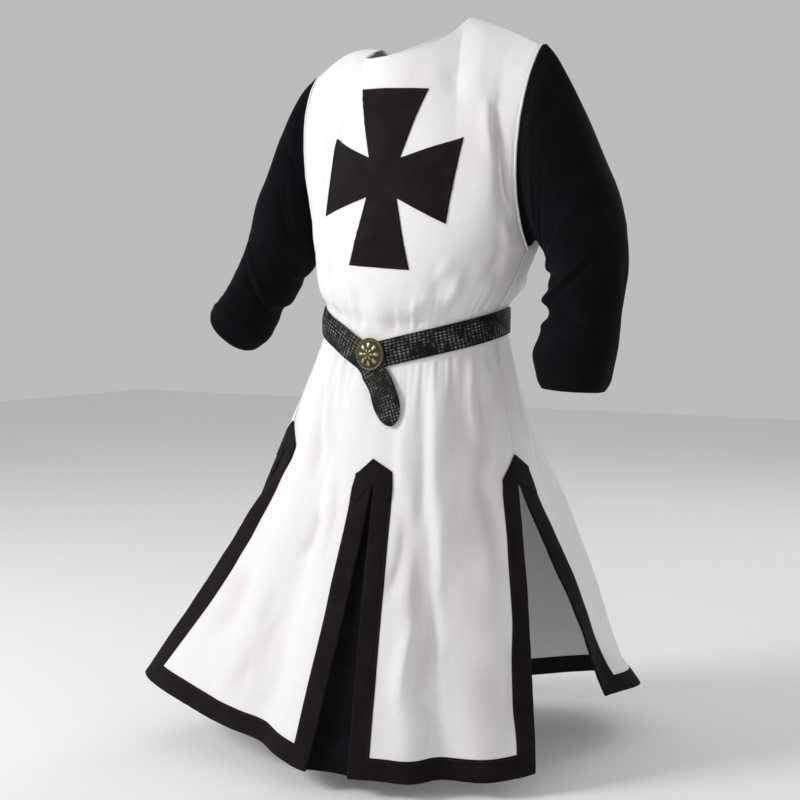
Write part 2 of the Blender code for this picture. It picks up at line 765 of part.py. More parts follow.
def peak(name, before, after):
    """Pointed piece over the top of a slit. before and after are its two flaps."""
    lift = WRAP + EASE - SEAM
    bm = flat_grid(3, 2)
    top = [vertex for vertex in bm.verts if vertex.co.y < 0.5]
    bmesh.ops.pointmerge(bm, verts=top, merge_co=(1.5, 0.0, 0.0))
    tip = [v for v in bm.verts if abs(v.co.y - 1.0) < 0.5 and 0.5 < v.co.x < 2.5]
    bmesh.ops.pointmerge(bm, verts=tip, merge_co=(1.5, 1.0, 0.0))
    thicken(bm)
    cut_quads(bm, never)
    for vertex in bm.verts:
        row = TIP_ROW - 1 + round(vertex.co.y)
        edges = (slit_edge(*before, False, row), slit_edge(*after, True, row))
        edge, edge_normal, inside, inside_normal = edges[0 if vertex.co.x < 1.75 else 1]
        outer = vertex.co.x < 0.5 or vertex.co.x > 2.5
        point = inside if outer else edge
        normal = inside_normal if outer else edge_normal
        if abs(vertex.co.x - 1.5) < 0.1:
            point = (edges[0][0] + edges[1][0]) / 2
        if row == TIP_ROW + 1:
            upper = spot(before[0], before[1] * HALF_COLUMNS + HALF_COLUMNS, row - 1, before[1])[0]
            lower = (edges[0][0] + edges[1][0]) / 2
            point = point + (upper - lower).normalized() * EASE
        vertex.co = point + normal * (lift + TRIM * (0.5 + vertex.co.z))
    return finish(bm, name, "black_binding")


def gore():
    """Black cloth set behind the front slit, sewn to the backs of its bindings."""
    first_row = TIP_ROW + 1
    behind = WRAP + TRIM / 2 + EASE + TRIM / 2

    def place(station, step):
        row = first_row + step
        left, left_normal, left_in, left_in_normal = slit_edge("front", 0, False, row)
        right, right_normal, right_in, right_in_normal = slit_edge("front", 1, True, row)
        if station == 0:
            point = mix(left, left_in, GORE_OVERLAP)
            normal = mix(left_normal, left_in_normal, GORE_OVERLAP).normalized()
        elif station == 4:
            point = mix(right, right_in, GORE_OVERLAP)
            normal = mix(right_normal, right_in_normal, GORE_OVERLAP).normalized()
        else:
            share = (station - 1) / 2
            point = mix(left, right, share)
            normal = mix(left_normal, right_normal, share).normalized()
        depth = behind
        if station == 2:
            depth += GORE_RECESS * step / (LAST_ROW - first_row)
        return point - normal * depth, normal

    return wall("front_gore", 4, LAST_ROW - first_row, place, TRIM, "black_cotton")


def armhole(side):
    """Armhole as a loop from the armpit up the front edge and down the back one.

    Each place has the cloth's middle, its normal and the way out of the panel.
    """
    front_column = 2 * HALF_COLUMNS if side > 0 else 0
    back_column = 0 if side > 0 else 2 * HALF_COLUMNS
    edges = []
    for panel, column in (("front", front_column), ("back", back_column)):
        half = 1 if column else 0
        inner_column = column - 1 if column else 1
        line = []
        for row in range(TOP_ROWS + 1):
            point, normal = spot(panel, column, row, half)
            inner = spot(panel, inner_column, row, half)[0]
            upper = spot(panel, column, max(row - 1, 0), half)[0]
            lower = spot(panel, column, min(row + 1, TOP_ROWS), half)[0]
            along = (lower - upper).normalized()
            out = point - inner
            out -= along * out.dot(along) + normal * out.dot(normal)
            line.append((point, normal, out.normalized()))
        edges.append(line)
    front, back = edges
    loop = []
    for row in range(TOP_ROWS, -1, -1):
        loop.append(front[row])
    for row in range(1, TOP_ROWS):
        loop.append(back[row])
    for row, index in ((TOP_ROWS, 0), (0, TOP_ROWS)):
        point = (front[row][0] + back[row][0]) / 2
        normal = (front[row][1] + back[row][1]).normalized()
        out = (front[row][2] + back[row][2]).normalized()
        loop[index] = (point, normal, out)
    return loop


def sleeve_ring(rings, side, along, turn):
    """Point of the plain sleeve at a share of its length and an angle round it."""
    place = along * (len(rings) - 1)
    places = list(range(len(rings)))

    def column(name):
        return curve_through(places, [getattr(ring, name) for ring in rings], place)

    outer = Vector((side * column("outer_x"), column("middle_y"), column("outer_z")))
    inner = Vector((side * column("inner_x"), column("middle_y"), column("inner_z")))
    half_depth = column("half_depth")
    angle = math.degrees(turn)
    swell = 0.0
    for crease in CREASES:
        near = math.exp(-((along - crease.along) / crease.length) ** 2)
        swell += crease.depth * near * math.exp(-(wrapped(angle - crease.angle) / crease.width) ** 2)
    across = (outer - inner) / 2
    centre = (outer + inner) / 2
    out = across.normalized() * -math.cos(turn) + Vector((0.0, -math.sin(turn), 0.0))
    ring = across * -math.cos(turn) + Vector((0.0, -half_depth * math.sin(turn), 0.0))
    return centre + ring + out * swell


def sleeve(name, rings, side):
    """Sleeve from the armhole to the cuff, a tube open at both ends."""
    loop = armhole(side)
    count = len(loop)
    lengths = [0.0]
    for index in range(count):
        step = (loop[(index + 1) % count][0] - loop[index][0]).length
        lengths.append(lengths[-1] + step)
    turns = [2 * math.pi * length / lengths[-1] for length in lengths[:-1]]

    def middle(index, row):
        point, normal, out = loop[index]
        if row == 0:
            return point + out * SEAM
        if row == 1:
            return point + out * SLEEVE_LEAVES_OUT + normal * SLEEVE_LEAVES_UP
        along = (row - 1) / (SLEEVE_ROWS - 1)
        plain = sleeve_ring(rings, side, along, turns[index])
        start = sleeve_ring(rings, side, 0.0, turns[index])
        leave = point + out * SLEEVE_LEAVES_OUT + normal * SLEEVE_LEAVES_UP
        keep = (1.0 - smooth(along / SLEEVE_BLEND)) ** 1.5
        return plain + (leave - start) * keep

    grid = [[middle(index, row) for index in range(count)] for row in range(SLEEVE_ROWS + 1)]

    def normal_at(index, row):
        if row == 0:
            return loop[index][1]
        round_way = grid[row][(index + 1) % count] - grid[row][index - 1]
        down = grid[min(row + 1, SLEEVE_ROWS)][index] - grid[row - 1][index]
        return (down.cross(round_way) * side).normalized()

    bm = bmesh.new()
    ring = bmesh.ops.create_circle(bm, cap_ends=False, segments=count, radius=1.0)["verts"]
    edges = bm.edges[:]
    for row in range(SLEEVE_ROWS):
        made = bmesh.ops.extrude_edge_only(bm, edges=edges)["geom"]
        ring = [item for item in made if isinstance(item, bmesh.types.BMVert)]
        edges = [item for item in made if isinstance(item, bmesh.types.BMEdge)]
        edges = [edge for edge in edges if all(vertex in ring for vertex in edge.verts)]
        bmesh.ops.translate(bm, verts=ring, vec=(0.0, 0.0, 1.0))
    made = bmesh.ops.extrude_face_region(bm, geom=bm.faces[:], use_keep_orig=True)
    inner = [item for item in made["geom"] if isinstance(item, bmesh.types.BMVert)]
    bmesh.ops.scale(bm, verts=inner, vec=(0.5, 0.5, 1.0))
    for vertex in bm.verts:
        turn = math.atan2(vertex.co.y, vertex.co.x)
        index = round(turn / (2 * math.pi) * count) % count
        row = round(vertex.co.z)
        depth = 0.5 if vertex.co.to_2d().length > 0.75 else -0.5
        vertex.co = grid[row][index] + normal_at(index, row) * (CLOTH * depth)
    return finish(bm, name, "black_cotton")


def cross_cutter():
    """Straight prism with the outline of the cross, through the chest from the front."""
    bm = bmesh.new()
    ring = bmesh.ops.create_circle(bm, cap_ends=True, segments=12, radius=1.0)["verts"]
    ring.sort(key=lambda vertex: math.atan2(vertex.co.y, vertex.co.x) % (2 * math.pi))
    for quarter, arm in enumerate(CROSS_ARMS):
        outline = (
            (arm.reach - arm.lean, -arm.half_end),
            (arm.reach + arm.lean, arm.half_end),
            (CROSS_WAIST, CROSS_WAIST),
        )
        turn = Matrix.Rotation(math.pi / 2 * quarter, 2)
        for index, corner in enumerate(outline):
            x, z = turn @ Vector(corner)
            height = CROSS_HEIGHT + z - CROSS_SAG * x
            ring[quarter * 3 + index].co = Vector((CROSS_ACROSS + x, -0.30, height))
    made = bmesh.ops.extrude_face_region(bm, geom=bm.faces[:], use_keep_orig=True)
    back = [item for item in made["geom"] if isinstance(item, bmesh.types.BMVert)]
    bmesh.ops.translate(bm, verts=back, vec=(0.0, 0.27, 0.0))
    for vertex in bm.verts:
        vertex.co = from_chest(vertex.co)
    cutter = finish(bm, "cross_cutter", "black_binding")
    cutter.hide_render = True
    cutter.display_type = "WIRE"
    return cutter


def cross():
    """Cross with four flaring arms, cut from a layer that lies on the front's own points."""
    first_column = 3
    first_row = 1
    lift = CLOTH / 2 + EASE + TRIM / 2

    def place(step, fall):
        column = first_column + step
        half = 1 if column > SLIT_COLUMN else 0
        point, normal = spot("front", column, first_row + fall, half)
        return point + normal * lift, normal

    columns = 2 * (HALF_COLUMNS - first_column)
    rows = TOP_ROWS + 3 - first_row
    layer = wall("cross", columns, rows, place, TRIM, "black_binding")
    cut = layer.modifiers.new("outline", "BOOLEAN")
    cut.operation = "INTERSECT"
    cut.solver = "EXACT"
    cut.object = cross_cutter()
    return layer


def belt_place(along, across):
    """Point of the belt's middle layer, and the normal there."""
    step = 0.004

    def line(share):
        share = min(max(share, 0.0), 1.0)
        angle = read(BELT, "along", "angle", share)
        return angle, belt_height(angle) - read(BELT, "along", "drop", share)

    angle, height = line(along)
    before = line(along - step)
    after = line(along + step)
    per_degree = (skin(angle + 1.0, 2.0) - skin(angle, 2.0)).length
    run = (after[0] - before[0]) * per_degree
    rise = after[1] - before[1]
    length = math.hypot(run, rise)
    angle += across * -rise / length / per_degree
    height += across * run / length
    level = level_at(angle, height)
    normal = skin_normal(angle, level)
    over = read(BELT, "along", "over", along)
    over = min(max(over, 0.0), 1.0)
    lift = CLOTH / 2 + EASE + LEATHER / 2 + over * (LEATHER + EASE)
    return skin(angle, level) + normal * lift, normal


def belt():
    """Strap from its free tongue round the waist to the end beneath the buckle."""
    lanes = 2
    tongue = 4

    def place(station, lane):
        along = station / BELT_STATIONS
        width = BELT_WIDTH / 2
        if station < tongue:
            width *= math.sqrt(1.0 - ((tongue - station) / (tongue + 0.6)) ** 2)
        return belt_place(along, (lane / lanes * 2.0 - 1.0) * width)

    return wall("belt", BELT_STATIONS, lanes, place, LEATHER, "black_leather")


def buckle():
    """Domed round plate over the place where the strap's ends cross."""
    bm = bmesh.new()
    profile = [bm.verts.new((radius, 0.0, height)) for radius, height in BUCKLE_PROFILE]
    edges = [bm.edges.new(pair) for pair in zip(profile, profile[1:])]
    bmesh.ops.spin(
        bm,
        geom=profile + edges,
        axis=(0.0, 0.0, 1.0),
        cent=(0.0, 0.0, 0.0),
        angle=2 * math.pi,
        steps=BUCKLE_STEPS,
        use_merge=True,
    )
    bmesh.ops.remove_doubles(bm, verts=bm.verts, dist=0.00001)
    level = 2.0
    normal = skin_normal(BUCKLE_ANGLE, level)
    lift = CLOTH / 2 + 3 * EASE + 2 * LEATHER
    centre = skin(BUCKLE_ANGLE, level) + normal * lift
    turn = normal.to_track_quat("Z", "Y").to_matrix().to_4x4()
    bmesh.ops.transform(bm, matrix=Matrix.Translation(centre) @ turn, verts=bm.verts)
    return finish(bm, "buckle", "antique_brass")


def build():
    """Makes every piece of the garment in an empty scene."""
    for item in list(bpy.data.objects):
        bpy.data.objects.remove(item, do_unlink=True)
    panel_piece("front")
    panel_piece("back")
    sleeve("sleeve_left", LEFT_SLEEVE, 1.0)
    sleeve("sleeve_right", RIGHT_SLEEVE, -1.0)
    cross()
    gore()
    flaps = {
        "front_right": ("front", 0),
        "front_left": ("front", 1),
        "back_left": ("back", 0),
        "back_right": ("back", 1),
    }
    for name, (panel, half) in flaps.items():
        slit_binding(f"binding_{name}_start", panel, half, True)
        slit_binding(f"binding_{name}_end", panel, half, False)
        hem_binding(f"hem_{name}", panel, half)
    peak("peak_front", flaps["front_right"], flaps["front_left"])
    peak("peak_left", flaps["front_left"], flaps["back_left"])
    peak("peak_back", flaps["back_left"], flaps["back_right"])
    peak("peak_right", flaps["back_right"], flaps["front_right"])
    belt()
    buckle()


build()
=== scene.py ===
"""A knight's tabard: cloth, trims, belt and buckle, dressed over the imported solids.

The file is laid out as a Blender add-on and is run as a script. Lengths are metres
and angles are degrees from the middle of the front towards the wearer's left.
"""

import json
import math
from collections import namedtuple

import bmesh
import bpy
import numpy as np
from mathutils import Matrix, Vector
from mathutils.bvhtree import BVHTree

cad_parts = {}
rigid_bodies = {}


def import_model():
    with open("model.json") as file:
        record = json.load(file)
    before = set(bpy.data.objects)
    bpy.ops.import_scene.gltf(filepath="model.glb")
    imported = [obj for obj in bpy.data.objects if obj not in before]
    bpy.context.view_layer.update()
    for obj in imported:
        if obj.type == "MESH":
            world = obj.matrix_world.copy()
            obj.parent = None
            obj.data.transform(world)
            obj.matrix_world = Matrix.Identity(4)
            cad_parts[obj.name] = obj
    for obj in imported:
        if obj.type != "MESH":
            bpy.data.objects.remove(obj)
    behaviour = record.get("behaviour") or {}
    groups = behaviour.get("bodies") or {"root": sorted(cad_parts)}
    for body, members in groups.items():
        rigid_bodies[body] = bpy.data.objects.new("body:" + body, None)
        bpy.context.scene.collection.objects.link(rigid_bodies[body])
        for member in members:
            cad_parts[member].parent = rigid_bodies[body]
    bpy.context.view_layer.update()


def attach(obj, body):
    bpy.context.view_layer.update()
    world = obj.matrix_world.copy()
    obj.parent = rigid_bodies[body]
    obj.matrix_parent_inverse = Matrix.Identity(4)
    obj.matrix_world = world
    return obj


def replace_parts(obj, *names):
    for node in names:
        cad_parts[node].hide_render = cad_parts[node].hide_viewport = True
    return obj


bl_info = {
    "name": "Tabard",
    "version": (1, 0, 0),
    "blender": (4, 5, 0),
    "location": "View3D > Sidebar > Tabard",
    "description": "Dresses a knight's tabard with its cloth, trims, belt and buckle",
    "category": "Add Mesh",
}

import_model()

# Walls of the solids, which the dressed pieces stay close to
CLOTH = 0.0020
SEAM = 0.0003
LEATHER = 0.0026
EASE = 0.0006

# Walls of the dressed cloth and tape, and how far a binding stands off the cloth
SHEET = 0.0016
TAPE = 0.0009
LIFT = 0.0017

# Heights of the body lines
ARMPIT_HEIGHT = -0.325
BELT_HEIGHT = -0.430
BELT_DIP = 0.052
BELT_DIP_RIGHT = 64.0
BELT_DIP_LEFT = 100.0
CHEST_TURN = -8.0
CHEST_SHIFT = 0.014

# Shoulders and neck opening, in the chest's own frame
SHOULDER_REACH = 0.214
SHOULDER_HEIGHT = -0.037
NECK_REACH = 0.088
NECK_SHARE = 0.40
NECK_HEIGHT = 0.005
NECK_TILT = 0.013
NECK_FRONT = (0.0, -0.090, -0.042)
NECK_BACK = (0.0, 0.060, -0.024)
HUMP_LEFT = 0.003
HUMP_RIGHT = 0.016
NECK_SIDE_Y = 0.006
NECK_OUT = 0.016
NECK_DOWN = 0.080
SHOULDER_OVER = 0.058

# Handles of the curves from the armpit line to the top edge. Beside the armhole, from
# a share of the half width on, they differ from those in the middle
MIDDLE_HANDLE = 0.110
ARMHOLE_FROM = 0.45
ARMHOLE_OUT = 0.062
ARMHOLE_UP = 0.072
SHOULDER_HANG = 0.085

# Bindings, slits and skirt. A panel's half is counted in twelve columns
BAND = 0.029
SLIT_GAP = 0.0045
BELT_SHARE = 0.052
HEM_SHARE = 0.952
HEM_CENTRE_X = -0.030
COLUMNS = 12.0

# Trunk: ellipses from the belt line (share 0) to the armpit line (share 1)
Ring = namedtuple("Ring", "share half_width half_depth")
TRUNK = (
    Ring(0.00, 0.150, 0.116),
    Ring(0.24, 0.150, 0.116),
    Ring(0.40, 0.162, 0.128),
    Ring(0.58, 0.172, 0.132),
    Ring(0.78, 0.181, 0.131),
    Ring(1.00, 0.192, 0.128),
)

# Hem by angle: its reach from the skirt's middle and its height
Station = namedtuple("Station", "angle reach height")
HEM = (
    Station(-140.0, 0.285, -1.060),
    Station(-112.0, 0.298, -1.045),
    Station(-92.0, 0.305, -1.035),
    Station(-78.0, 0.326, -1.020),
    Station(-67.0, 0.345, -1.010),
    Station(-45.0, 0.286, -1.043),
    Station(-24.0, 0.252, -1.062),
    Station(-1.6, 0.250, -1.078),
    Station(20.0, 0.236, -1.083),
    Station(46.0, 0.246, -1.085),
    Station(73.0, 0.294, -1.078),
    Station(95.0, 0.315, -1.045),
    Station(117.0, 0.336, -1.027),
    Station(142.0, 0.405, -1.040),
    Station(163.0, 0.318, -1.060),
    Station(190.0, 0.278, -1.068),
)

# Seams: their angle at chest, belt and slit tip, the angles of the slit's edges at the
# hem, and the share of the skirt at which the slit opens
Seam = namedtuple("Seam", "chest belt tip hem_before hem_after opens")
SEAMS = {
    "right": Seam(-98.0, -80.0, -56.0, -83.0, -67.0, 0.315),
    "front": Seam(-8.0, -2.0, 8.0, -1.6, 12.7, 0.30),
    "left": Seam(82.0, 84.0, 82.0, 73.0, 117.0, 0.357),
    "back": Seam(172.0, 178.0, 184.0, 182.0, 196.0, 0.35),
}
PANEL_SEAMS = {"front": ("right", "front", "left"), "back": ("left", "back", "right")}

# Large folds: angle and level of both ends, width in degrees, and depth
Fold = namedtuple("Fold", "top_angle low_angle top_level low_level width depth")
FOLDS = (
    Fold(-38.0, -44.0, 2.15, 3.0, 9.0, 0.008),
    Fold(-20.0, -27.0, 2.07, 3.0, 7.0, -0.008),
    Fold(26.0, 34.0, 2.07, 3.0, 6.5, 0.008),
    Fold(44.0, 46.0, 2.06, 3.0, 8.0, -0.014),
    Fold(66.0, 58.0, 2.25, 3.0, 6.0, 0.006),
    Fold(112.0, 118.0, 2.07, 3.0, 8.0, -0.012),
    Fold(140.0, 146.0, 2.07, 3.0, 9.0, 0.014),
    Fold(160.0, 166.0, 2.07, 3.0, 8.0, -0.014),
    Fold(205.0, 212.0, 2.07, 3.0, 9.0, -0.013),
    Fold(226.0, 232.0, 2.10, 3.0, 8.0, 0.012),
    Fold(28.0, 24.0, 1.45, 1.73, 6.0, 0.005),
    Fold(46.0, 42.0, 1.30, 1.74, 6.5, 0.007),
    Fold(64.0, 60.0, 1.20, 1.73, 6.0, 0.006),
    Fold(-40.0, -36.0, 1.35, 1.73, 7.0, 0.005),
    Fold(120.0, 124.0, 1.25, 1.74, 9.0, 0.007),
    Fold(158.0, 156.0, 1.20, 1.74, 9.0, 0.008),
    Fold(198.0, 202.0, 1.25, 1.74, 9.0, 0.007),
    Fold(238.0, 234.0, 1.30, 1.74, 9.0, 0.006),
)

# Flaps that stand out from the skirt towards one corner
Kick = namedtuple("Kick", "panel half top_angle low_angle top_level width reach")
KICKS = (
    Kick("front", 0, -69.0, -69.0, 2.315, 17.0, 0.075),
    Kick("back", 0, 90.0, 127.0, 2.357, 7.5, 0.030),
)

# Soft waves of the yoke: share across the panel and level of both ends
Drape = namedtuple("Drape", "panel top_across low_across top_level low_level width depth")
DRAPES = (
    Drape("front", 0.84, 0.78, 0.20, 1.0, 0.10, -0.008),
    Drape("front", 0.62, 0.60, 0.10, 0.95, 0.16, 0.003),
    Drape("front", -0.84, -0.78, 0.25, 1.0, 0.10, -0.005),
    Drape("back", 0.60, 0.50, 0.20, 1.0, 0.13, -0.007),
    Drape("back", -0.60, -0.50, 0.20, 1.0, 0.13, -0.007),
    Drape("back", 0.05, 0.0, 0.35, 1.0, 0.12, -0.004),
)

# Creases of the cloth: from one angle and height to another, their
# width on the side of smaller and of larger angles, and how far they stand out, which
# CREASE_DEPTH multiplies
CREASE_DEPTH = 1.55
Crease = namedtuple("Crease", "angle height to_angle to_height before after depth")
CREASES = (
    # chest, towards the wearer's left armhole
    Crease(54.0, -0.115, 61.0, -0.200, 0.012, 0.020, -0.0035),
    Crease(48.0, -0.100, 53.0, -0.210, 0.012, 0.012, 0.0025),
    Crease(65.0, -0.140, 73.0, -0.290, 0.016, 0.009, -0.0050),
    Crease(70.0, -0.170, 78.0, -0.290, 0.007, 0.010, 0.0030),
    Crease(60.0, -0.290, 56.0, -0.395, 0.015, 0.022, -0.0040),
    Crease(66.0, -0.270, 72.0, -0.380, 0.010, 0.014, 0.0030),
    Crease(29.0, -0.335, 22.0, -0.450, 0.010, 0.013, -0.0040),
    Crease(36.0, -0.330, 31.0, -0.440, 0.009, 0.012, 0.0030),
    Crease(46.0, -0.340, 40.0, -0.430, 0.008, 0.010, -0.0030),
    Crease(34.0, -0.055, 44.0, -0.130, 0.018, 0.024, 0.0022),
    Crease(20.0, -0.060, 28.0, -0.110, 0.014, 0.018, -0.0018),
    # chest, towards the wearer's right
    Crease(-52.0, -0.085, -46.0, -0.170, 0.010, 0.018, -0.0022),
    Crease(-60.0, -0.110, -56.0, -0.260, 0.014, 0.010, -0.0028),
    Crease(-44.0, -0.300, -40.0, -0.420, 0.014, 0.012, -0.0028),
    Crease(-30.0, -0.340, -27.0, -0.430, 0.012, 0.010, 0.0022),
    Crease(-14.0, -0.370, -12.0, -0.450, 0.010, 0.012, -0.0020),
    # skirt, right flap
    Crease(-42.0, -0.500, -28.0, -0.690, 0.016, 0.012, -0.0045),
    Crease(-34.0, -0.490, -21.0, -0.640, 0.012, 0.014, 0.0030),
    Crease(-21.0, -0.700, -28.0, -0.800, 0.012, 0.016, -0.0040),
    Crease(-34.0, -0.820, -41.0, -1.020, 0.014, 0.020, -0.0060),
    Crease(-30.0, -0.840, -35.0, -1.000, 0.014, 0.012, 0.0040),
    Crease(-51.0, -0.800, -53.0, -0.940, 0.018, 0.014, -0.0045),
    Crease(-46.0, -0.640, -56.0, -0.780, 0.014, 0.016, 0.0030),
    Crease(-14.0, -0.640, -12.0, -0.800, 0.012, 0.016, -0.0025),
    # skirt, left flap
    Crease(38.0, -0.445, 46.0, -0.850, 0.015, 0.036, 0.0066),
    Crease(43.0, -0.620, 51.0, -1.100, 0.016, 0.036, 0.0076),
    Crease(28.0, -0.470, 31.0, -0.780, 0.012, 0.012, -0.0022),
    Crease(29.0, -0.700, 35.0, -1.030, 0.012, 0.012, -0.0030),
    Crease(24.0, -0.520, 25.0, -0.700, 0.012, 0.016, 0.0026),
    Crease(64.0, -0.500, 61.0, -0.680, 0.010, 0.016, -0.0036),
    Crease(60.0, -0.640, 66.0, -0.850, 0.012, 0.014, -0.0040),
    Crease(68.0, -0.860, 65.0, -1.050, 0.012, 0.016, -0.0036),
    Crease(25.0, -0.700, 20.0, -0.840, 0.012, 0.016, -0.0045),
    Crease(40.0, -0.810, 34.0, -0.980, 0.010, 0.016, -0.0050),
    Crease(35.0, -0.840, 29.0, -1.000, 0.012, 0.010, 0.0035),
    Crease(36.0, -0.960, 41.0, -1.060, 0.010, 0.014, -0.0035),
    Crease(62.0, -0.470, 62.0, -0.620, 0.010, 0.012, 0.0030),
    Crease(70.0, -0.460, 72.0, -0.590, 0.008, 0.010, -0.0035),
    Crease(77.0, -0.470, 78.0, -0.600, 0.008, 0.008, 0.0030),
    # wearer's left side and back
    Crease(92.0, -0.460, 92.0, -0.600, 0.008, 0.010, -0.0035),
    Crease(99.0, -0.450, 102.0, -0.640, 0.010, 0.012, 0.0040),
    Crease(108.0, -0.460, 112.0, -0.720, 0.012, 0.014, -0.0045),
    Crease(126.0, -0.450, 130.0, -0.700, 0.014, 0.012, -0.0045),
    Crease(134.0, -0.640, 138.0, -0.960, 0.014, 0.018, 0.0050),
    Crease(150.0, -0.450, 153.0, -0.680, 0.012, 0.014, 0.0040),
    Crease(158.0, -0.600, 163.0, -0.940, 0.014, 0.014, -0.0050),
    Crease(174.0, -0.450, 172.0, -0.640, 0.012, 0.012, -0.0040),
    Crease(192.0, -0.450, 190.0, -0.660, 0.012, 0.012, 0.0035),
    Crease(210.0, -0.460, 214.0, -0.740, 0.012, 0.016, -0.0050),
    Crease(222.0, -0.640, 226.0, -0.960, 0.016, 0.014, 0.0050),
    Crease(240.0, -0.450, 246.0, -0.680, 0.012, 0.014, -0.0045),
    Crease(262.0, -0.450, 266.0, -0.620, 0.010, 0.012, 0.0035),
    Crease(104.0, -0.250, 110.0, -0.400, 0.012, 0.016, -0.0040),
    Crease(122.0, -0.150, 128.0, -0.360, 0.014, 0.018, -0.0040),
    Crease(136.0, -0.260, 142.0, -0.410, 0.012, 0.012, 0.0035),
    Crease(160.0, -0.120, 164.0, -0.300, 0.018, 0.016, 0.0025),
    Crease(172.0, -0.260, 168.0, -0.410, 0.014, 0.012, -0.0035),
    Crease(196.0, -0.280, 198.0, -0.420, 0.012, 0.014, 0.0035),
    Crease(214.0, -0.140, 208.0, -0.340, 0.016, 0.014, -0.0040),
    Crease(228.0, -0.250, 222.0, -0.400, 0.012, 0.014, 0.0035),
    Crease(246.0, -0.250, 240.0, -0.400, 0.014, 0.012, -0.0040),
)

# Soft patches of painted warm shade on the cloth, partly stains: angle and height of the middle, degrees and
# metres each way
ShadeStain = namedtuple("ShadeStain", "angle height wide tall strength")
SHADE_AND_STAINS = (
    ShadeStain(58.0, -0.555, 12.0, 0.110, 0.80),
    ShadeStain(58.0, -0.720, 9.0, 0.120, 0.95),
    ShadeStain(55.5, -0.930, 6.5, 0.150, 1.00),
    ShadeStain(84.0, -0.560, 12.0, 0.110, 0.60),
    ShadeStain(28.0, -0.800, 6.0, 0.140, 0.35),
    ShadeStain(62.0, -0.190, 12.0, 0.070, 0.60),
    ShadeStain(76.0, -0.340, 13.0, 0.080, 0.60),
    ShadeStain(33.0, -0.090, 14.0, 0.040, 0.30),
    ShadeStain(18.0, -0.420, 10.0, 0.035, 0.35),
    ShadeStain(-58.0, -0.650, 10.0, 0.090, 0.25),
    ShadeStain(-36.0, -0.960, 12.0, 0.060, 0.20),
    ShadeStain(132.0, -0.620, 14.0, 0.130, 0.40),
    ShadeStain(205.0, -0.240, 16.0, 0.090, 0.35),
    ShadeStain(228.0, -0.860, 14.0, 0.120, 0.40),
)

# Sleeve rings from armhole to cuff. x is the distance from the middle of the body
SleeveRing = namedtuple("SleeveRing", "outer_x outer_z inner_x inner_z middle_y half_depth")
LEFT_SLEEVE = (
    SleeveRing(0.226, -0.037, 0.204, -0.325, -0.030, 0.052),
    SleeveRing(0.248, -0.062, 0.214, -0.316, -0.030, 0.060),
    SleeveRing(0.280, -0.122, 0.222, -0.320, -0.022, 0.066),
    SleeveRing(0.312, -0.200, 0.228, -0.330, -0.012, 0.068),
    SleeveRing(0.336, -0.275, 0.232, -0.348, -0.004, 0.064),
    SleeveRing(0.344, -0.345, 0.231, -0.380, -0.002, 0.059),
    SleeveRing(0.341, -0.410, 0.226, -0.418, -0.010, 0.055),
    SleeveRing(0.335, -0.470, 0.227, -0.470, -0.022, 0.052),
    SleeveRing(0.331, -0.530, 0.231, -0.524, -0.036, 0.051),
)
RIGHT_SLEEVE = (
    SleeveRing(0.198, -0.037, 0.176, -0.325, 0.028, 0.052),
    SleeveRing(0.222, -0.060, 0.187, -0.316, 0.026, 0.060),
    SleeveRing(0.250, -0.118, 0.196, -0.320, 0.022, 0.066),
    SleeveRing(0.274, -0.190, 0.204, -0.332, 0.016, 0.067),
    SleeveRing(0.295, -0.262, 0.212, -0.352, 0.008, 0.063),
    SleeveRing(0.312, -0.320, 0.227, -0.385, -0.006, 0.058),
    SleeveRing(0.328, -0.368, 0.246, -0.425, -0.024, 0.054),
    SleeveRing(0.336, -0.396, 0.262, -0.457, -0.042, 0.051),
    SleeveRing(0.346, -0.418, 0.277, -0.486, -0.058, 0.050),
)

# How far off the armhole's edge a sleeve leaves it, and the share of its length over
# which it settles into its rings
SLEEVE_LEAVES_OUT = 0.007
SLEEVE_LEAVES_UP = 0.003
SLEEVE_BLEND = 0.45

# Creases of a sleeve: share of its length, angle round it from the inner side over
# the front, and their extent along it, round it and out of it. Slant turns one
Tuck = namedtuple("Tuck", "along angle length width slant depth")
TUCKS = (
    Tuck(0.74, 10.0, 0.045, 60.0, 0.0, -0.0100),
    Tuck(0.66, 40.0, 0.035, 50.0, 0.0, -0.0050),
    Tuck(0.58, -25.0, 0.040, 55.0, 0.0, -0.0050),
    Tuck(0.83, 60.0, 0.035, 45.0, 0.0, -0.0040),
    Tuck(0.45, 150.0, 0.060, 50.0, 0.0, 0.0050),
    Tuck(0.70, 60.0, 0.014, 55.0, -0.0016, -0.0045),
    Tuck(0.64, 75.0, 0.014, 50.0, -0.0014, 0.0040),
    Tuck(0.76, 85.0, 0.013, 50.0, 0.0012, -0.0035),
    Tuck(0.81, 40.0, 0.013, 50.0, 0.0010, 0.0035),
    Tuck(0.52, 30.0, 0.018, 50.0, -0.0012, 0.0030),
    Tuck(0.36, 45.0, 0.022, 45.0, -0.0022, -0.0030),
    Tuck(0.22, 60.0, 0.026, 40.0, -0.0026, 0.0030),
    Tuck(0.14, 110.0, 0.030, 45.0, 0.0020, -0.0025),
    Tuck(0.68, -60.0, 0.016, 50.0, 0.0014, -0.0040),
    Tuck(0.60, -100.0, 0.018, 50.0, 0.0012, 0.0035),
    Tuck(0.30, -70.0, 0.024, 50.0, 0.0020, -0.0030),
    Tuck(0.90, 120.0, 0.016, 60.0, 0.0008, 0.0020),
    Tuck(0.58, 25.0, 0.028, 48.0, 0.0, -0.0030),
    Tuck(0.69, 25.0, 0.030, 48.0, 0.0, 0.0090),
    Tuck(0.775, 25.0, 0.022, 50.0, 0.0, -0.0030),
    Tuck(0.89, 20.0, 0.055, 55.0, 0.0, 0.0080),
    Tuck(0.88, 215.0, 0.070, 60.0, 0.0, 0.0040),
    Tuck(1.02, 0.0, 0.030, 400.0, 0.0, -0.0105),
)

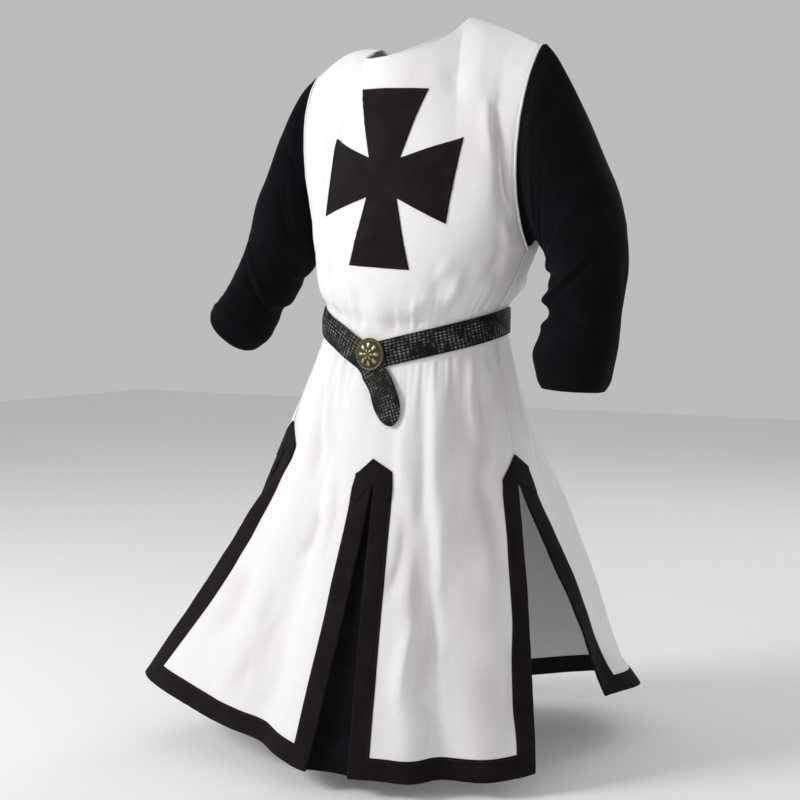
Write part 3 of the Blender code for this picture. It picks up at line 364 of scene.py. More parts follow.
# Cross on the chest, in the chest's own frame
CROSS_ACROSS = 0.015
CROSS_HEIGHT = -0.2215
CROSS_SAG = 0.080
CROSS_WAIST = 0.029
Arm = namedtuple("Arm", "side reach half_end lean")
CROSS_ARMS = (
    Arm("left", 0.112, 0.062, 0.007),
    Arm("top", 0.131, 0.060, 0.0),
    Arm("right", 0.131, 0.060, 0.0),
    Arm("bottom", 0.131, 0.053, 0.0),
)

# Belt by share of its length. Drop is the distance below the belt line, and over is
# the share of a strap's thickness by which it lies on its other end
BeltRow = namedtuple("BeltRow", "along angle drop over")
BELT = (
    BeltRow(0.00, 15.0, 0.112, 1.0),
    BeltRow(0.05, 10.0, 0.076, 1.0),
    BeltRow(0.10, 3.5, 0.040, 1.0),
    BeltRow(0.14, -5.0, 0.014, 1.0),
    BeltRow(0.18, -18.0, 0.005, 1.0),
    BeltRow(0.22, -34.0, 0.001, 0.0),
    BeltRow(0.34, -90.0, 0.000, 0.0),
    BeltRow(0.50, -160.0, 0.000, 0.0),
    BeltRow(0.66, -220.0, 0.000, 0.0),
    BeltRow(0.82, -290.0, 0.000, 0.0),
    BeltRow(1.00, -360.0, 0.000, 0.0),
)

# Buckle: a domed disc, as radius and height from its back
BUCKLE_ANGLE = -2.0
BUCKLE_PROFILE = (
    (0.0000, 0.0000),
    (0.0238, 0.0000),
    (0.0245, 0.0006),
    (0.0245, 0.0012),
    (0.0240, 0.0020),
    (0.0232, 0.0025),
    (0.0224, 0.0023),
    (0.0216, 0.0018),
    (0.0210, 0.0020),
    (0.0203, 0.0028),
    (0.0190, 0.0034),
    (0.0172, 0.0041),
    (0.0155, 0.0046),
    (0.0140, 0.0050),
    (0.0124, 0.0053),
    (0.0106, 0.0056),
    (0.0088, 0.0059),
    (0.0070, 0.0062),
    (0.0056, 0.0064),
    (0.0042, 0.0066),
    (0.0026, 0.0067),
    (0.0000, 0.0067),
)

# Flaps by panel and half, and peaks by the two flaps and the seam they lie on
FLAPS = {
    "front_right": ("front", 0),
    "front_left": ("front", 1),
    "back_left": ("back", 0),
    "back_right": ("back", 1),
}
PEAKS = {
    "peak_front": ("front_right", "front_left", "front"),
    "peak_left": ("front_left", "back_left", "left"),
    "peak_back": ("back_left", "back_right", "back"),
    "peak_right": ("back_right", "front_right", "right"),
}

# Stitches: length, gap to the next and radius of the thread
Stitch = namedtuple("Stitch", "length gap radius")
BINDING_STITCH = Stitch(0.0030, 0.0011, 0.00028)
CROSS_STITCH = Stitch(0.0028, 0.0010, 0.00028)
WHITE_STITCH = Stitch(0.0030, 0.0012, 0.00024)

# Stage
FLOOR_HEIGHT = -1.112
CAMERA_PLACE = (1.0, -1.732, -0.40)
CAMERA_TARGET = (-0.0203, -0.0117, -0.556)
CAMERA_LENS = 57.6


def mix(start, end, share):
    return start + (end - start) * share


def smooth(share):
    """Soft step from 0 to 1."""
    share = np.clip(share, 0.0, 1.0)
    return share * share * (3.0 - 2.0 * share)


def bell(x):
    return np.exp(-x * x)


def lumps(x, y, seed):
    """Smooth uneven numbers from -1 to 1 over a plane, about one lump to a unit."""
    def corner(i, j):
        n = np.sin(i * 127.1 + j * 311.7 + seed * 74.7) * 43758.5453
        return (n - np.floor(n)) * 2.0 - 1.0

    i = np.floor(x)
    j = np.floor(y)
    across = smooth(x - i)
    down = smooth(y - j)
    upper = mix(corner(i, j), corner(i + 1, j), across)
    lower = mix(corner(i, j + 1), corner(i + 1, j + 1), across)
    return mix(upper, lower, down)


def stack(x, y, z):
    return np.stack(np.broadcast_arrays(x, y, z), axis=-1).astype(float)


def unit(vectors):
    return vectors / np.maximum(np.linalg.norm(vectors, axis=-1, keepdims=True), 1e-9)


def looped(values):
    """Values of a loop with the first one again at the end."""
    return np.concatenate([values, values[:1]])


def run_of(line):
    """Distance along a line at each of its points."""
    return np.concatenate([[0.0], np.cumsum(np.linalg.norm(np.diff(line, axis=0), axis=1))])


def read_line(wanted, lengths, values):
    """Values of a line's points, read at distances along it."""
    return np.stack([np.interp(wanted, lengths, values[:, axis]) for axis in range(3)], axis=-1)


def curve(places, values, x):
    """Smooth curve through values that stand at rising places."""
    places = np.asarray(places, dtype=float)
    values = np.asarray(values, dtype=float)
    last = len(places) - 1
    k = np.clip(np.searchsorted(places, x, side="right") - 1, 0, last - 1)
    span = places[k + 1] - places[k]
    t = np.clip((x - places[k]) / span, 0.0, 1.0)
    before = np.maximum(k - 1, 0)
    after = np.minimum(k + 2, last)
    slope_in = (values[k + 1] - values[before]) / (places[k + 1] - places[before]) * span
    slope_out = (values[after] - values[k]) / (places[after] - places[k]) * span
    rise = values[k + 1] - values[k]
    bend = (slope_in - rise) * t * (1 - t) ** 2 - (slope_out - rise) * t * t * (1 - t)
    return values[k] + rise * t + bend


def read(rows, place, name, x):
    return curve([getattr(row, place) for row in rows], [getattr(row, name) for row in rows], x)


def read_round(rows, name, angle):
    """A column of a table whose rows go all the way round by angle."""
    places = []
    values = []
    for turn, part in enumerate((rows[-2:], rows, rows[:2])):
        for row in part:
            places.append(row.angle + 360.0 * (turn - 1))
            values.append(getattr(row, name))
    first = rows[0].angle
    return curve(places, values, first + (angle - first) % 360.0)


def wrapped(angle):
    """The same angle between -180 and 180."""
    return (angle + 180.0) % 360.0 - 180.0


def outward(angle):
    turn = np.radians(angle)
    return stack(np.sin(turn), -np.cos(turn), 0.0)


def belt_height(angle):
    """Height of the belt line, which dips towards the buckle."""
    angle = wrapped(angle)
    reach = np.where(angle > 0, BELT_DIP_LEFT, BELT_DIP_RIGHT)
    share = np.maximum(0.0, 1.0 - np.abs(angle) / reach)
    return BELT_HEIGHT - BELT_DIP * share ** 1.25


def fold_offset(angle, level):
    """How far the cloth stands out or in for its large folds."""
    offset = np.zeros(np.broadcast(angle, level).shape)
    for fold in FOLDS:
        share = (level - fold.top_level) / (fold.low_level - fold.top_level)
        across = wrapped(angle - mix(fold.top_angle, fold.low_angle, share)) / fold.width
        if fold.low_level < 3.0:
            swell = np.sin(np.pi * np.clip(share, 0.0, 1.0)) ** 1.5
        else:
            swell = smooth(share * 1.6)
        offset = offset + fold.depth * swell * bell(across)
    return offset


def trunk(angle, share):
    """Point of the trunk, from the belt line (share 0) to the armpit line (share 1)."""
    half_width = read(TRUNK, "share", "half_width", share)
    half_depth = read(TRUNK, "share", "half_depth", share)
    turn = np.radians(CHEST_TURN * share)
    local = np.radians(angle) - turn
    x = half_width * np.sin(local)
    y = -half_depth * np.cos(local)
    turned_x = x * np.cos(turn) - y * np.sin(turn) + CHEST_SHIFT * share
    turned_y = x * np.sin(turn) + y * np.cos(turn)
    return stack(turned_x, turned_y, mix(belt_height(angle), ARMPIT_HEIGHT, share))


def skin(angle, level):
    """Middle of the cloth. Level 1 is the armpit line, 2 the belt and 3 the hem."""
    angle, level = np.broadcast_arrays(np.asarray(angle, float), np.asarray(level, float))
    upper = trunk(angle, np.clip(2.0 - level, 0.0, 1.0))
    share = np.clip(level - 2.0, 0.0, 1.0)
    hem = outward(angle) * read_round(HEM, "reach", angle)[..., None]
    hem[..., 0] += HEM_CENTRE_X
    hem_height = read_round(HEM, "height", angle)
    flare = np.maximum(0.0, share - BELT_SHARE) / (1.0 - BELT_SHARE)
    lower = mix(upper, hem, flare[..., None])
    lower[..., 2] = mix(upper[..., 2], hem_height, share)
    point = np.where((level <= 2.0)[..., None], upper, lower)
    return point + outward(angle) * fold_offset(angle, level)[..., None]


def from_chest(points):
    """World places of points given in the chest's own frame."""
    turn = math.radians(CHEST_TURN)
    x = points[..., 0] * math.cos(turn) - points[..., 1] * math.sin(turn) + CHEST_SHIFT
    y = points[..., 0] * math.sin(turn) + points[..., 1] * math.cos(turn)
    return stack(x, y, points[..., 2])


def top_edge(panel, across):
    """Ends of the columns at the neckline or shoulder seam, and their curves' last handles."""
    facing = -1.0 if panel == "front" else 1.0
    side = np.where(across > 0, 1.0, -1.0) * (-1.0 if panel == "back" else 1.0)
    neck = stack(NECK_REACH * side, NECK_SIDE_Y, NECK_HEIGHT + NECK_TILT * side)
    low = stack(*(NECK_FRONT if panel == "front" else NECK_BACK))
    turn = np.clip(np.abs(across) / NECK_SHARE, 0.0, 1.0) * np.pi / 2
    rise = 1.0 - np.cos(turn)
    low_height = low[..., 2] + NECK_TILT * 0.3 * side * np.sin(turn)
    round_neck = stack(
        neck[..., 0] * np.sin(turn),
        mix(low[..., 1], NECK_SIDE_Y, rise),
        mix(low_height, neck[..., 2], rise),
    )
    share = np.clip((np.abs(across) - NECK_SHARE) / (1.0 - NECK_SHARE), 0.0, 1.0)
    tip = stack(SHOULDER_REACH * side, 0.0, SHOULDER_HEIGHT)
    shoulder = mix(neck, tip, share[..., None])
    shoulder[..., 2] += np.where(side > 0, HUMP_LEFT, HUMP_RIGHT) * np.sin(np.pi * share)
    on_neck = np.abs(across) <= NECK_SHARE
    down = stack(0.0, facing * NECK_OUT, -NECK_DOWN)
    over = stack(0.0, facing * SHOULDER_OVER, 0.0)
    handle = mix(down, over, np.where(on_neck, rise, 1.0)[..., None])
    point = np.where(on_neck[..., None], round_neck, shoulder)
    point[..., 1] += facing * SEAM / 2
    return point, handle


def yoke(panel, angle, across, level):
    """Middle of the cloth above the armpit line, on a curve from there to the top edge."""
    facing = -1.0 if panel == "front" else 1.0
    start = skin(angle, 1.0)
    upward = unit(start - skin(angle, 1.05))
    edge = smooth((np.abs(across) - ARMHOLE_FROM) / (1.0 - ARMHOLE_FROM))[..., None]
    turn = math.radians(CHEST_TURN)
    out = facing * ARMHOLE_OUT
    armhole_handle = stack(-out * math.sin(turn), out * math.cos(turn), ARMHOLE_UP)
    start_handle = start + mix(upward * MIDDLE_HANDLE, armhole_handle, edge)
    local_end, local_handle = top_edge(panel, across)
    fall = stack(0.0, facing * 0.004, -SHOULDER_HANG) * edge
    end = from_chest(local_end)
    end_handle = from_chest(local_end + local_handle + fall * 0.75)
    t = (1.0 - level)[..., None]
    point = start * (1 - t) ** 3 + start_handle * (3 * t * (1 - t) ** 2)
    point = point + end_handle * (3 * t * t * (1 - t)) + end * t ** 3
    offset = np.zeros(level.shape)
    for drape in DRAPES:
        if drape.panel != panel:
            continue
        share = np.clip((level - drape.top_level) / (drape.low_level - drape.top_level), 0.0, 1.0)
        gone = (across - mix(drape.top_across, drape.low_across, share)) / drape.width
        offset = offset + drape.depth * np.sin(np.pi * share) * bell(gone)
    return point + outward(angle) * offset[..., None]


def seam_angle(name, level, after):
    """World angle of a seam, or of one edge of its slit below the tip."""
    seam = SEAMS[name]
    chest = mix(seam.chest, seam.belt, np.clip(level - 1.0, 0.0, 1.0))
    share = level - 2.0
    hips = mix(seam.belt, seam.tip, np.clip(share / seam.opens, 0.0, 1.0))
    fall = np.clip((share - seam.opens) / (1.0 - seam.opens), 0.0, 1.0)
    flap = mix(seam.tip, seam.hem_after if after else seam.hem_before, fall)
    return np.where(level <= 2.0, chest, np.where(share <= seam.opens, hips, flap))


def opening(panel, half, column):
    """Share of the skirt at which the slits of a column begin."""
    first, second = PANEL_SEAMS[panel][half], PANEL_SEAMS[panel][half + 1]
    return mix(SEAMS[first].opens, SEAMS[second].opens, column / COLUMNS)


def form(panel, half, column, level):
    """Point of a panel's bare form at a column of one half and a level, and its angle."""
    column, level = np.broadcast_arrays(np.asarray(column, float), np.asarray(level, float))
    first, second = PANEL_SEAMS[panel][half], PANEL_SEAMS[panel][half + 1]
    turn = 360.0 if panel == "back" and half == 1 else 0.0
    ring = np.maximum(level, 1.0)
    start = seam_angle(first, ring, True)
    end = seam_angle(second, ring, False) + turn

    def gap(name, middle):
        opened = np.clip((ring - 2.0 - SEAMS[name].opens) / 0.03, 0.0, 1.0)
        return mix(0.0 if middle else SEAM, SLIT_GAP, opened)

    start_metre = np.linalg.norm(skin(start + 1.0, ring) - skin(start, ring), axis=-1)
    end_metre = np.linalg.norm(skin(end, ring) - skin(end - 1.0, ring), axis=-1)
    outer_start = start + gap(first, half == 1) / 2 / start_metre
    outer_end = end - gap(second, half == 0) / 2 / end_metre
    inner_start = outer_start + BAND / start_metre
    inner_end = outer_end - BAND / end_metre
    angle = mix(inner_start, inner_end, (column - 1.0) / (COLUMNS - 2.0))
    angle = np.where(column < 1.0, mix(outer_start, inner_start, column), angle)
    last = COLUMNS - 1.0
    angle = np.where(column > last, mix(inner_end, outer_end, column - last), angle)
    lower = skin(angle, ring)
    for kick in KICKS:
        if (kick.panel, kick.half) != (panel, half):
            continue
        share = np.clip((ring - kick.top_level) / (3.0 - kick.top_level), 0.0, 1.0)
        across = wrapped(angle - mix(kick.top_angle, kick.low_angle, share)) / kick.width
        lower = lower + outward(angle) * (kick.reach * share * smooth(share * 3.0) * bell(across))[..., None]
    middle = seam_angle(PANEL_SEAMS[panel][1], np.array(1.0), True)
    across = np.clip((angle - middle) / 90.0, -1.0, 1.0)
    across = np.where(np.abs(across) > 0.995, np.sign(across), across)
    upper = yoke(panel, angle, across, np.clip(level, 0.0, 1.0))
    return np.where((level < 1.0)[..., None], upper, lower), angle


def wrinkles(angle, height, level):
    """How far the cloth stands out for its creases, gathers and small unevenness."""
    metre = mix(0.0027, 0.0050, np.clip((-height - 0.40) / 0.65, 0.0, 1.0))
    offset = np.zeros(angle.shape)
    for crease in CREASES:
        x = wrapped(angle - crease.angle) * metre
        z = height - crease.height
        run_x = wrapped(crease.to_angle - crease.angle) * metre
        run_z = crease.to_height - crease.height
        length = np.hypot(run_x, run_z)
        along = (x * run_x + z * run_z) / length ** 2
        bow = np.minimum(0.10 * length, 0.012) * np.sin(np.pi * np.clip(along, 0.0, 1.0))
        bow = bow * np.sign(crease.depth)
        beside = (z * run_x - x * run_z) / length + bow
        width = np.where(beside > 0.0, crease.after, crease.before)
        swell = smooth(along / 0.35) * smooth((1.0 - along) / 0.35)
        offset = offset + CREASE_DEPTH * crease.depth * swell * bell(beside / width)
    line = belt_height(angle)
    from_belt = height - line
    pinch = smooth((np.abs(from_belt) - 0.019) / 0.016)
    reach = np.where(from_belt > 0.0, 0.045, 0.075)
    gathers = lumps(angle / 4.3 + 0.6 * lumps(angle / 17.0, height * 9.0, 3), height * 7.0, 1)
    gathers = gathers + 0.5 * lumps(angle / 2.2, height * 12.0, 2)
    offset = offset + 0.0026 * gathers * bell((np.abs(from_belt) - 0.020) / reach)
    offset = offset + 0.0011 * lumps(angle * metre / 0.050, height / 0.080, 4)
    offset = offset + 0.0005 * lumps(angle * metre / 0.019, height / 0.034, 5)
    puckers = 0.0005 * lumps(angle * metre / 0.012, height / 0.015, 6)
    offset = offset + puckers * smooth(1.0 - level * 3.0)
    return offset * pinch


def cloth(panel, half, column, level):
    """Point of a panel with its wrinkles, and how far they stand out there."""
    point, angle = form(panel, half, column, level)
    level = np.broadcast_to(np.asarray(level, float), angle.shape)
    offset = wrinkles(angle, point[..., 2], level) * smooth(level * 6.0)
    steep = np.clip(level, 0.0, 1.0) ** 0.7
    push = unit(outward(angle) * steep[..., None] + stack(0.0, 0.0, 1.0 - steep))
    return point + push * offset[..., None], offset


def surface(panel, half, column, level):
    """Point of a dressed panel, its outward normal, and the way to larger columns."""
    column, level = np.broadcast_arrays(np.asarray(column, float), np.asarray(level, float))
    point = cloth(panel, half, column, level)[0]
    near = cloth(panel, half, np.clip(column - 0.04, 0.0, COLUMNS), level)[0]
    far = cloth(panel, half, np.clip(column + 0.04, 0.0, COLUMNS), level)[0]
    above = cloth(panel, half, column, np.clip(level - 0.006, 0.0, 3.0))[0]
    below = cloth(panel, half, column, np.clip(level + 0.006, 0.0, 3.0))[0]
    across = unit(far - near)
    return point, unit(np.cross(below - above, across)), across, unit(below - above)


class Value:
    """Number that changes over a surface, for use in Python expressions."""

    def __init__(self, finish, socket):
        self.finish = finish
        self.socket = socket

    def math(self, operation, *others):
        values = {0: self}
        for index, other in enumerate(others):
            values[index + 1] = other
        node = self.finish.add("ShaderNodeMath", {"operation": operation}, values)
        return Value(self.finish, node.outputs[0])

    def __add__(self, other):
        return self.math("ADD", other)

    def __radd__(self, other):
        return self.math("ADD", other)

    def __sub__(self, other):
        return self.math("SUBTRACT", other)

    def __rsub__(self, other):
        node = self.finish.add("ShaderNodeMath", {"operation": "SUBTRACT"}, {0: other, 1: self})
        return Value(self.finish, node.outputs[0])

    def __mul__(self, other):
        return self.math("MULTIPLY", other)

    def __rmul__(self, other):
        return self.math("MULTIPLY", other)

    def __truediv__(self, other):
        return self.math("DIVIDE", other)

    def __pow__(self, other):
        return self.math("POWER", other)

    def sine(self):
        return self.math("SINE")

    def whole(self):
        return self.math("FLOOR")

    def part(self):
        return self.math("FRACT")

    def size(self):
        return self.math("ABSOLUTE")

    def over(self, edge, softness):
        """0 below an edge and 1 above it, with a soft step."""
        settings = {"interpolation_type": "SMOOTHSTEP", "clamp": True}
        values = {"Value": self, "From Min": edge - softness, "From Max": edge + softness}
        node = self.finish.add("ShaderNodeMapRange", settings, values)
        return Value(self.finish, node.outputs[0])


class Finish:
    """Material under construction: its tree, its shader and its coordinates."""

    def __init__(self, name, **constants):
        self.material = bpy.data.materials.new(name)
        self.material.use_nodes = True
        self.tree = self.material.node_tree
        self.shader = self.tree.nodes["Principled BSDF"]
        for socket, value in constants.items():
            self.shader.inputs[socket.replace("_", " ")].default_value = value

    def add(self, kind, settings=None, values=None):
        node = self.tree.nodes.new(kind)
        for key, value in (settings or {}).items():
            setattr(node, key, value)
        for key, value in (values or {}).items():
            self.feed(node.inputs[key], value)
        return node

    def feed(self, socket, value):
        if isinstance(value, Value):
            value = value.socket
        if isinstance(value, bpy.types.NodeSocket):
            self.tree.links.new(value, socket)
        elif hasattr(value, "__len__") and len(value) == 3 and socket.type == "RGBA":
            socket.default_value = (*value, 1.0)
        else:
            socket.default_value = value

    def split(self, socket):
        node = self.add("ShaderNodeSeparateXYZ", values={0: socket})
        return [Value(self, output) for output in node.outputs]

    def surface_places(self):
        """Metres across and down the piece, from its own map."""
        return self.split(self.add("ShaderNodeUVMap", {"uv_map": "cut"}).outputs[0])[:2]

    def object_places(self):
        return self.add("ShaderNodeTexCoord").outputs["Object"]

    def painted(self, name):
        return Value(self, self.add("ShaderNodeAttribute", {"attribute_name": name}).outputs["Fac"])

    def noise(self, vector, scale, detail=2.0, roughness=0.5):
        values = {"Vector": vector, "Scale": scale, "Detail": detail, "Roughness": roughness}
        return Value(self, self.add("ShaderNodeTexNoise", values=values).outputs[0])

    def pair(self, x, y):
        return self.add("ShaderNodeCombineXYZ", values={0: x, 1: y}).outputs[0]

    def blend(self, share, first, second):
        values = {0: share, 6: first, 7: second}
        node = self.add("ShaderNodeMix", {"data_type": "RGBA", "clamp_factor": True}, values)
        return node.outputs[2]

    def bump(self, height, distance, strength):
        values = {"Height": height, "Distance": distance, "Strength": strength}
        self.feed(self.shader.inputs["Normal"], self.add("ShaderNodeBump", values=values).outputs[0])

    def colour(self, value):
        self.feed(self.shader.inputs["Base Color"], value)

    def rough(self, value):
        self.feed(self.shader.inputs["Roughness"], value)


def once(name, build):
    return bpy.data.materials.get(name) or build(name)


def tinted(colour, *shades):
    """A colour times one number, or times one for each channel."""
    if len(shades) == 1:
        shades = shades * 3
    return tuple(channel * shade for channel, shade in zip(colour, shades))


def white_twill(name):
    """White cotton twill with a fine diagonal and random tone, darkened warm by painted shade in its creases
    and in soft patches that are partly stains.
    """
    props = bpy.context.scene.tabard_cloth
    finish = Finish(name, Sheen_Weight=0.12, Sheen_Roughness=0.6, Specular_IOR_Level=0.25)
    u, v = finish.surface_places()
    place = finish.object_places()
    thread = props.thread
    diagonal = ((u + v) * (2 * math.pi / (thread * 2.6))).sine()
    threads = (u * (2 * math.pi / thread)).sine() * (v * (2 * math.pi / thread)).sine()
    slubs = finish.noise(finish.pair(u * 900.0, v * 90.0), 1.0, 2.0)
    patch = finish.noise(place, 7.0, 3.0, 0.55)
    fine = finish.noise(place, 55.0, 3.0, 0.6)
    # A warmer, darker white, used for painted shade and for random tone
    warm_shade_and_tone = tinted(props.white, 0.80, 0.752, 0.748)
    cool = tinted(props.white, 0.985, 0.99, 1.0)
    base = finish.blend(patch.over(0.5, 0.16), tuple(props.white), cool)
    # Painted shade: the warmer darker white where the creases stand in and in the soft patches, which are
    # partly stains
    base = finish.blend(finish.painted("hollow") * (0.6 + patch * 0.5), base, warm_shade_and_tone)
    base = finish.blend(fine.over(0.60, 0.12) * 0.12, base, warm_shade_and_tone)
    base = finish.blend((diagonal * 0.5 + 0.5) * 0.03 + slubs * 0.03, base, warm_shade_and_tone)
    finish.colour(base)
    finish.rough(0.80 + fine * 0.14)
    finish.bump(diagonal * 0.4 + threads * 0.4 + slubs * 0.5 + fine * 0.8, 0.00022, 0.55)
    return finish.material


def black_nap(name):
    """Black sleeve cotton with a short nap that is brushed in patches."""
    props = bpy.context.scene.tabard_cloth
    finish = Finish(name, Sheen_Weight=0.05, Sheen_Roughness=0.45, Specular_IOR_Level=0.05)
    finish.shader.inputs["Sheen Tint"].default_value = (0.35, 0.38, 0.50, 1.0)
    u, v = finish.surface_places()
    place = finish.object_places()
    brushed = finish.noise(place, 16.0, 4.0, 0.6)
    fuzz = finish.noise(finish.pair(u * 1500.0, v * 1100.0), 1.0, 2.0)
    base = finish.blend(brushed.over(0.55, 0.12), tuple(props.black), tinted(props.black, 1.9))
    base = finish.blend(fuzz * 0.16, base, (0.016, 0.016, 0.020))
    finish.colour(base)
    finish.rough(0.80 + brushed * 0.15)
    finish.bump(fuzz * 0.7 + brushed * 1.2, 0.00030, 0.5)
    return finish.material


def black_tape(name):
    """Black woven binding with a brown cast, fine ribs and a little lint."""
    props = bpy.context.scene.tabard_cloth
    finish = Finish(name, Sheen_Weight=0.02, Sheen_Roughness=0.5, Specular_IOR_Level=0.08)
    u, v = finish.surface_places()
    place = finish.object_places()
    rib = props.thread * 1.3
    weave = (u * (2 * math.pi / rib)).sine() * (v * (2 * math.pi / rib)).sine()
    patch = finish.noise(place, 22.0, 3.0, 0.6)
    lint = finish.noise(place, 420.0, 2.0, 0.6)
    brown = tinted(props.tape, 1.7)
    base = finish.blend(patch.over(0.52, 0.14), tuple(props.tape), brown)
    base = finish.blend(lint.over(0.70, 0.03) * 0.20, base, (0.040, 0.034, 0.034))
    finish.colour(base)
    finish.rough(0.70 + patch * 0.2)
    finish.bump(weave * 0.8 + patch * 1.5, 0.00022, 0.5)
    return finish.material


def thread_finish(name, colour):
    finish = Finish(name, Roughness=0.6, Sheen_Weight=0.2)
    twist = finish.noise(finish.object_places(), 900.0, 1.0)
    finish.colour(finish.blend(twist, colour, tinted(colour, 0.75)))
    return finish.material


def black_leather(name):
    """Black leather, embossed with a small basket weave whose raised crowns are lightened in flecks, partly
    as painted highlight and partly as wear.
    """
    props = bpy.context.scene.tabard_belt
    finish = Finish(name, Specular_IOR_Level=0.12)
    u, v = finish.surface_places()
    place = finish.object_places()
    cell = props.emboss
    wide = u / cell
    tall = v / (cell * 0.62)
    odd = (wide.whole() + tall.whole()) * 0.5
    odd = odd.part().over(0.25, 0.05)
    across = ((wide.part() - 0.5) * 2.0).size()
    down = ((tall.part() - 0.5) * 2.0).size()
    crown = (1.0 - across ** 3.0) * (1.0 - down ** 3.0)
    ridge_u = (u * (2 * math.pi * 3.0 / cell)).sine() * 0.5 + 0.5
    ridge_v = (v * (2 * math.pi * 3.0 / cell)).sine() * 0.5 + 0.5
    ridges = ridge_u * odd + ridge_v * (1.0 - odd)
    grain = finish.noise(place, 900.0, 3.0, 0.6)
    patch = finish.noise(place, 45.0, 3.0, 0.6)
    raised = crown * (0.6 + ridges * 0.4)
    fleck = finish.noise(finish.pair(wide * 0.9, tall * 0.9), 1.0, 1.0)
    # Painted highlight and wear: the raised crowns are lightened in patches and flecks
    highlight_and_wear = raised.over(0.62, 0.16) * patch.over(0.49, 0.10)
    highlight_and_wear = highlight_and_wear * fleck.over(0.44, 0.18) * (0.40 + grain * 0.8)
    base = finish.blend(patch, tuple(props.leather), tinted(props.leather, 2.0))
    base = finish.blend(highlight_and_wear, base, tuple(props.highlight_and_wear))
    finish.colour(base)
    finish.rough(0.56 - raised * 0.16 + grain * 0.12)
    finish.bump(raised + grain * 0.12, 0.00055, 0.9)
    return finish.material


def antique_brass(name):
    """Brass with olive tarnish that stays in its hollows."""
    props = bpy.context.scene.tabard_belt
    finish = Finish(name, Metallic=0.92)
    place = finish.object_places()
    hollow = finish.painted("hollow")
    spots = finish.noise(place, 300.0, 4.0, 0.65)
    fine = finish.noise(place, 1400.0, 2.0, 0.6)
    tarnish = (hollow * 1.1 + spots * 0.6 - 0.15).over(0.5, 0.35)
    base = finish.blend(tarnish, tuple(props.brass), (0.060, 0.052, 0.026))
    base = finish.blend(spots.over(0.62, 0.06) * 0.5, base, (0.110, 0.115, 0.060))
    finish.colour(base)
    finish.rough(0.34 + tarnish * 0.30 + fine * 0.10)
    finish.bump(fine * 0.5 + spots, 0.00016, 0.6)
    return finish.material


def pale_floor(name):
    finish = Finish(name, Roughness=0.9, Specular_IOR_Level=0.2)
    patch = finish.noise(finish.object_places(), 1.5, 2.0)
    finish.colour(finish.blend(patch, (0.86, 0.86, 0.865), (0.88, 0.88, 0.885)))
    return finish.material


# Name and build of each slot's material
FINISHES = {
    "white_cotton": ("white twill", white_twill),
    "black_cotton": ("black nap", black_nap),
    "black_binding": ("black tape", black_tape),
    "black_leather": ("black leather", black_leather),
    "antique_brass": ("antique brass", antique_brass),
}


def flat_grid(columns, rows):
    """Flat grid whose vertices stand at whole numbers, x by column and y by row."""
    bm = bmesh.new()
    bmesh.ops.create_grid(bm, x_segments=columns, y_segments=rows, size=0.5)
    bmesh.ops.translate(bm, verts=bm.verts, vec=(0.5, 0.5, 0.0))
    bmesh.ops.scale(bm, verts=bm.verts, vec=(columns, rows, 1.0))
    return bm


def places_of(bm):
    return np.array([vertex.co for vertex in bm.verts])


def steps_of(bm):
    return np.round(places_of(bm)).astype(int)


def lay(bm, points, across, down, paint=None):
    """Moves a flat grid's vertices to their points and writes its map in metres."""
    bm.verts.ensure_lookup_table()
    bm.verts.index_update()
    layer = bm.loops.layers.uv.new("cut")
    for face in bm.faces:
        for loop in face.loops:
            index = loop.vert.index
            loop[layer].uv = (across[index], down[index])
    if paint is not None:
        shade = bm.verts.layers.float.new("hollow")
        for vertex, value in zip(bm.verts, paint):
            vertex[shade] = float(value)
    for vertex, point in zip(bm.verts, points):
        vertex.co = point


def dressed_name(name):
    return f"{name}_cloth"


def piece_from(bm, name, slot, thickness=0.0, turn_faces=False, bevel=0.0, soft=60.0, material=None):
    """Object of a finished bmesh, with its wall and the material of its slot, riding on the part."""
    if turn_faces:
        bmesh.ops.reverse_faces(bm, faces=bm.faces[:])
    mesh = bpy.data.meshes.new(name)
    bm.to_mesh(mesh)
    bm.free()
    mesh.shade_smooth()
    mesh.set_sharp_from_angle(angle=math.radians(soft))
    mesh.materials.append(material or once(*FINISHES[slot]))
    piece = bpy.data.objects.new(name, mesh)
    bpy.context.scene.collection.objects.link(piece)
    if thickness:
        wall = piece.modifiers.new("wall", "SOLIDIFY")
        wall.thickness = thickness
        wall.offset = 0.0
        wall.use_even_offset = False
    if bevel:
        rounding = piece.modifiers.new("rounding", "BEVEL")
        rounding.width = bevel
        rounding.segments = 2
        rounding.limit_method = "ANGLE"
        rounding.angle_limit = math.radians(60.0)
    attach(piece, "root")
    return piece


def level_of(panel, half, column, share):
    """Level at 0-1 down the yoke, 1-2 down the waist, 2-3 down the hips, 3-4 down the flap."""
    opens = opening(panel, half, column)
    hips = 2.0 + opens * (share - 2.0)
    flap = 2.0 + mix(opens, 1.0, share - 3.0)
    return np.where(share <= 2.0, share, np.where(share <= 3.0, hips, flap))


def spread(index, counts, marks):
    """Reads whole steps as a share, where each stretch between marks has its own count."""
    return np.interp(index, np.concatenate([[0], np.cumsum(counts)]), marks)


def shade_and_stain_strength(points):
    """Strength of the soft patches of painted shade and stains at points of the cloth."""
    angle = np.degrees(np.arctan2(points[:, 0], -points[:, 1]))
    strength = np.zeros(len(points))
    for shade_spot in SHADE_AND_STAINS:
        beside = bell(wrapped(angle - shade_spot.angle) / shade_spot.wide)
        strength += shade_spot.strength * beside * bell((points[:, 2] - shade_spot.height) / shade_spot.tall)
    return strength * (0.85 + 0.3 * lumps(angle / 9.0, points[:, 2] / 0.06, 31))


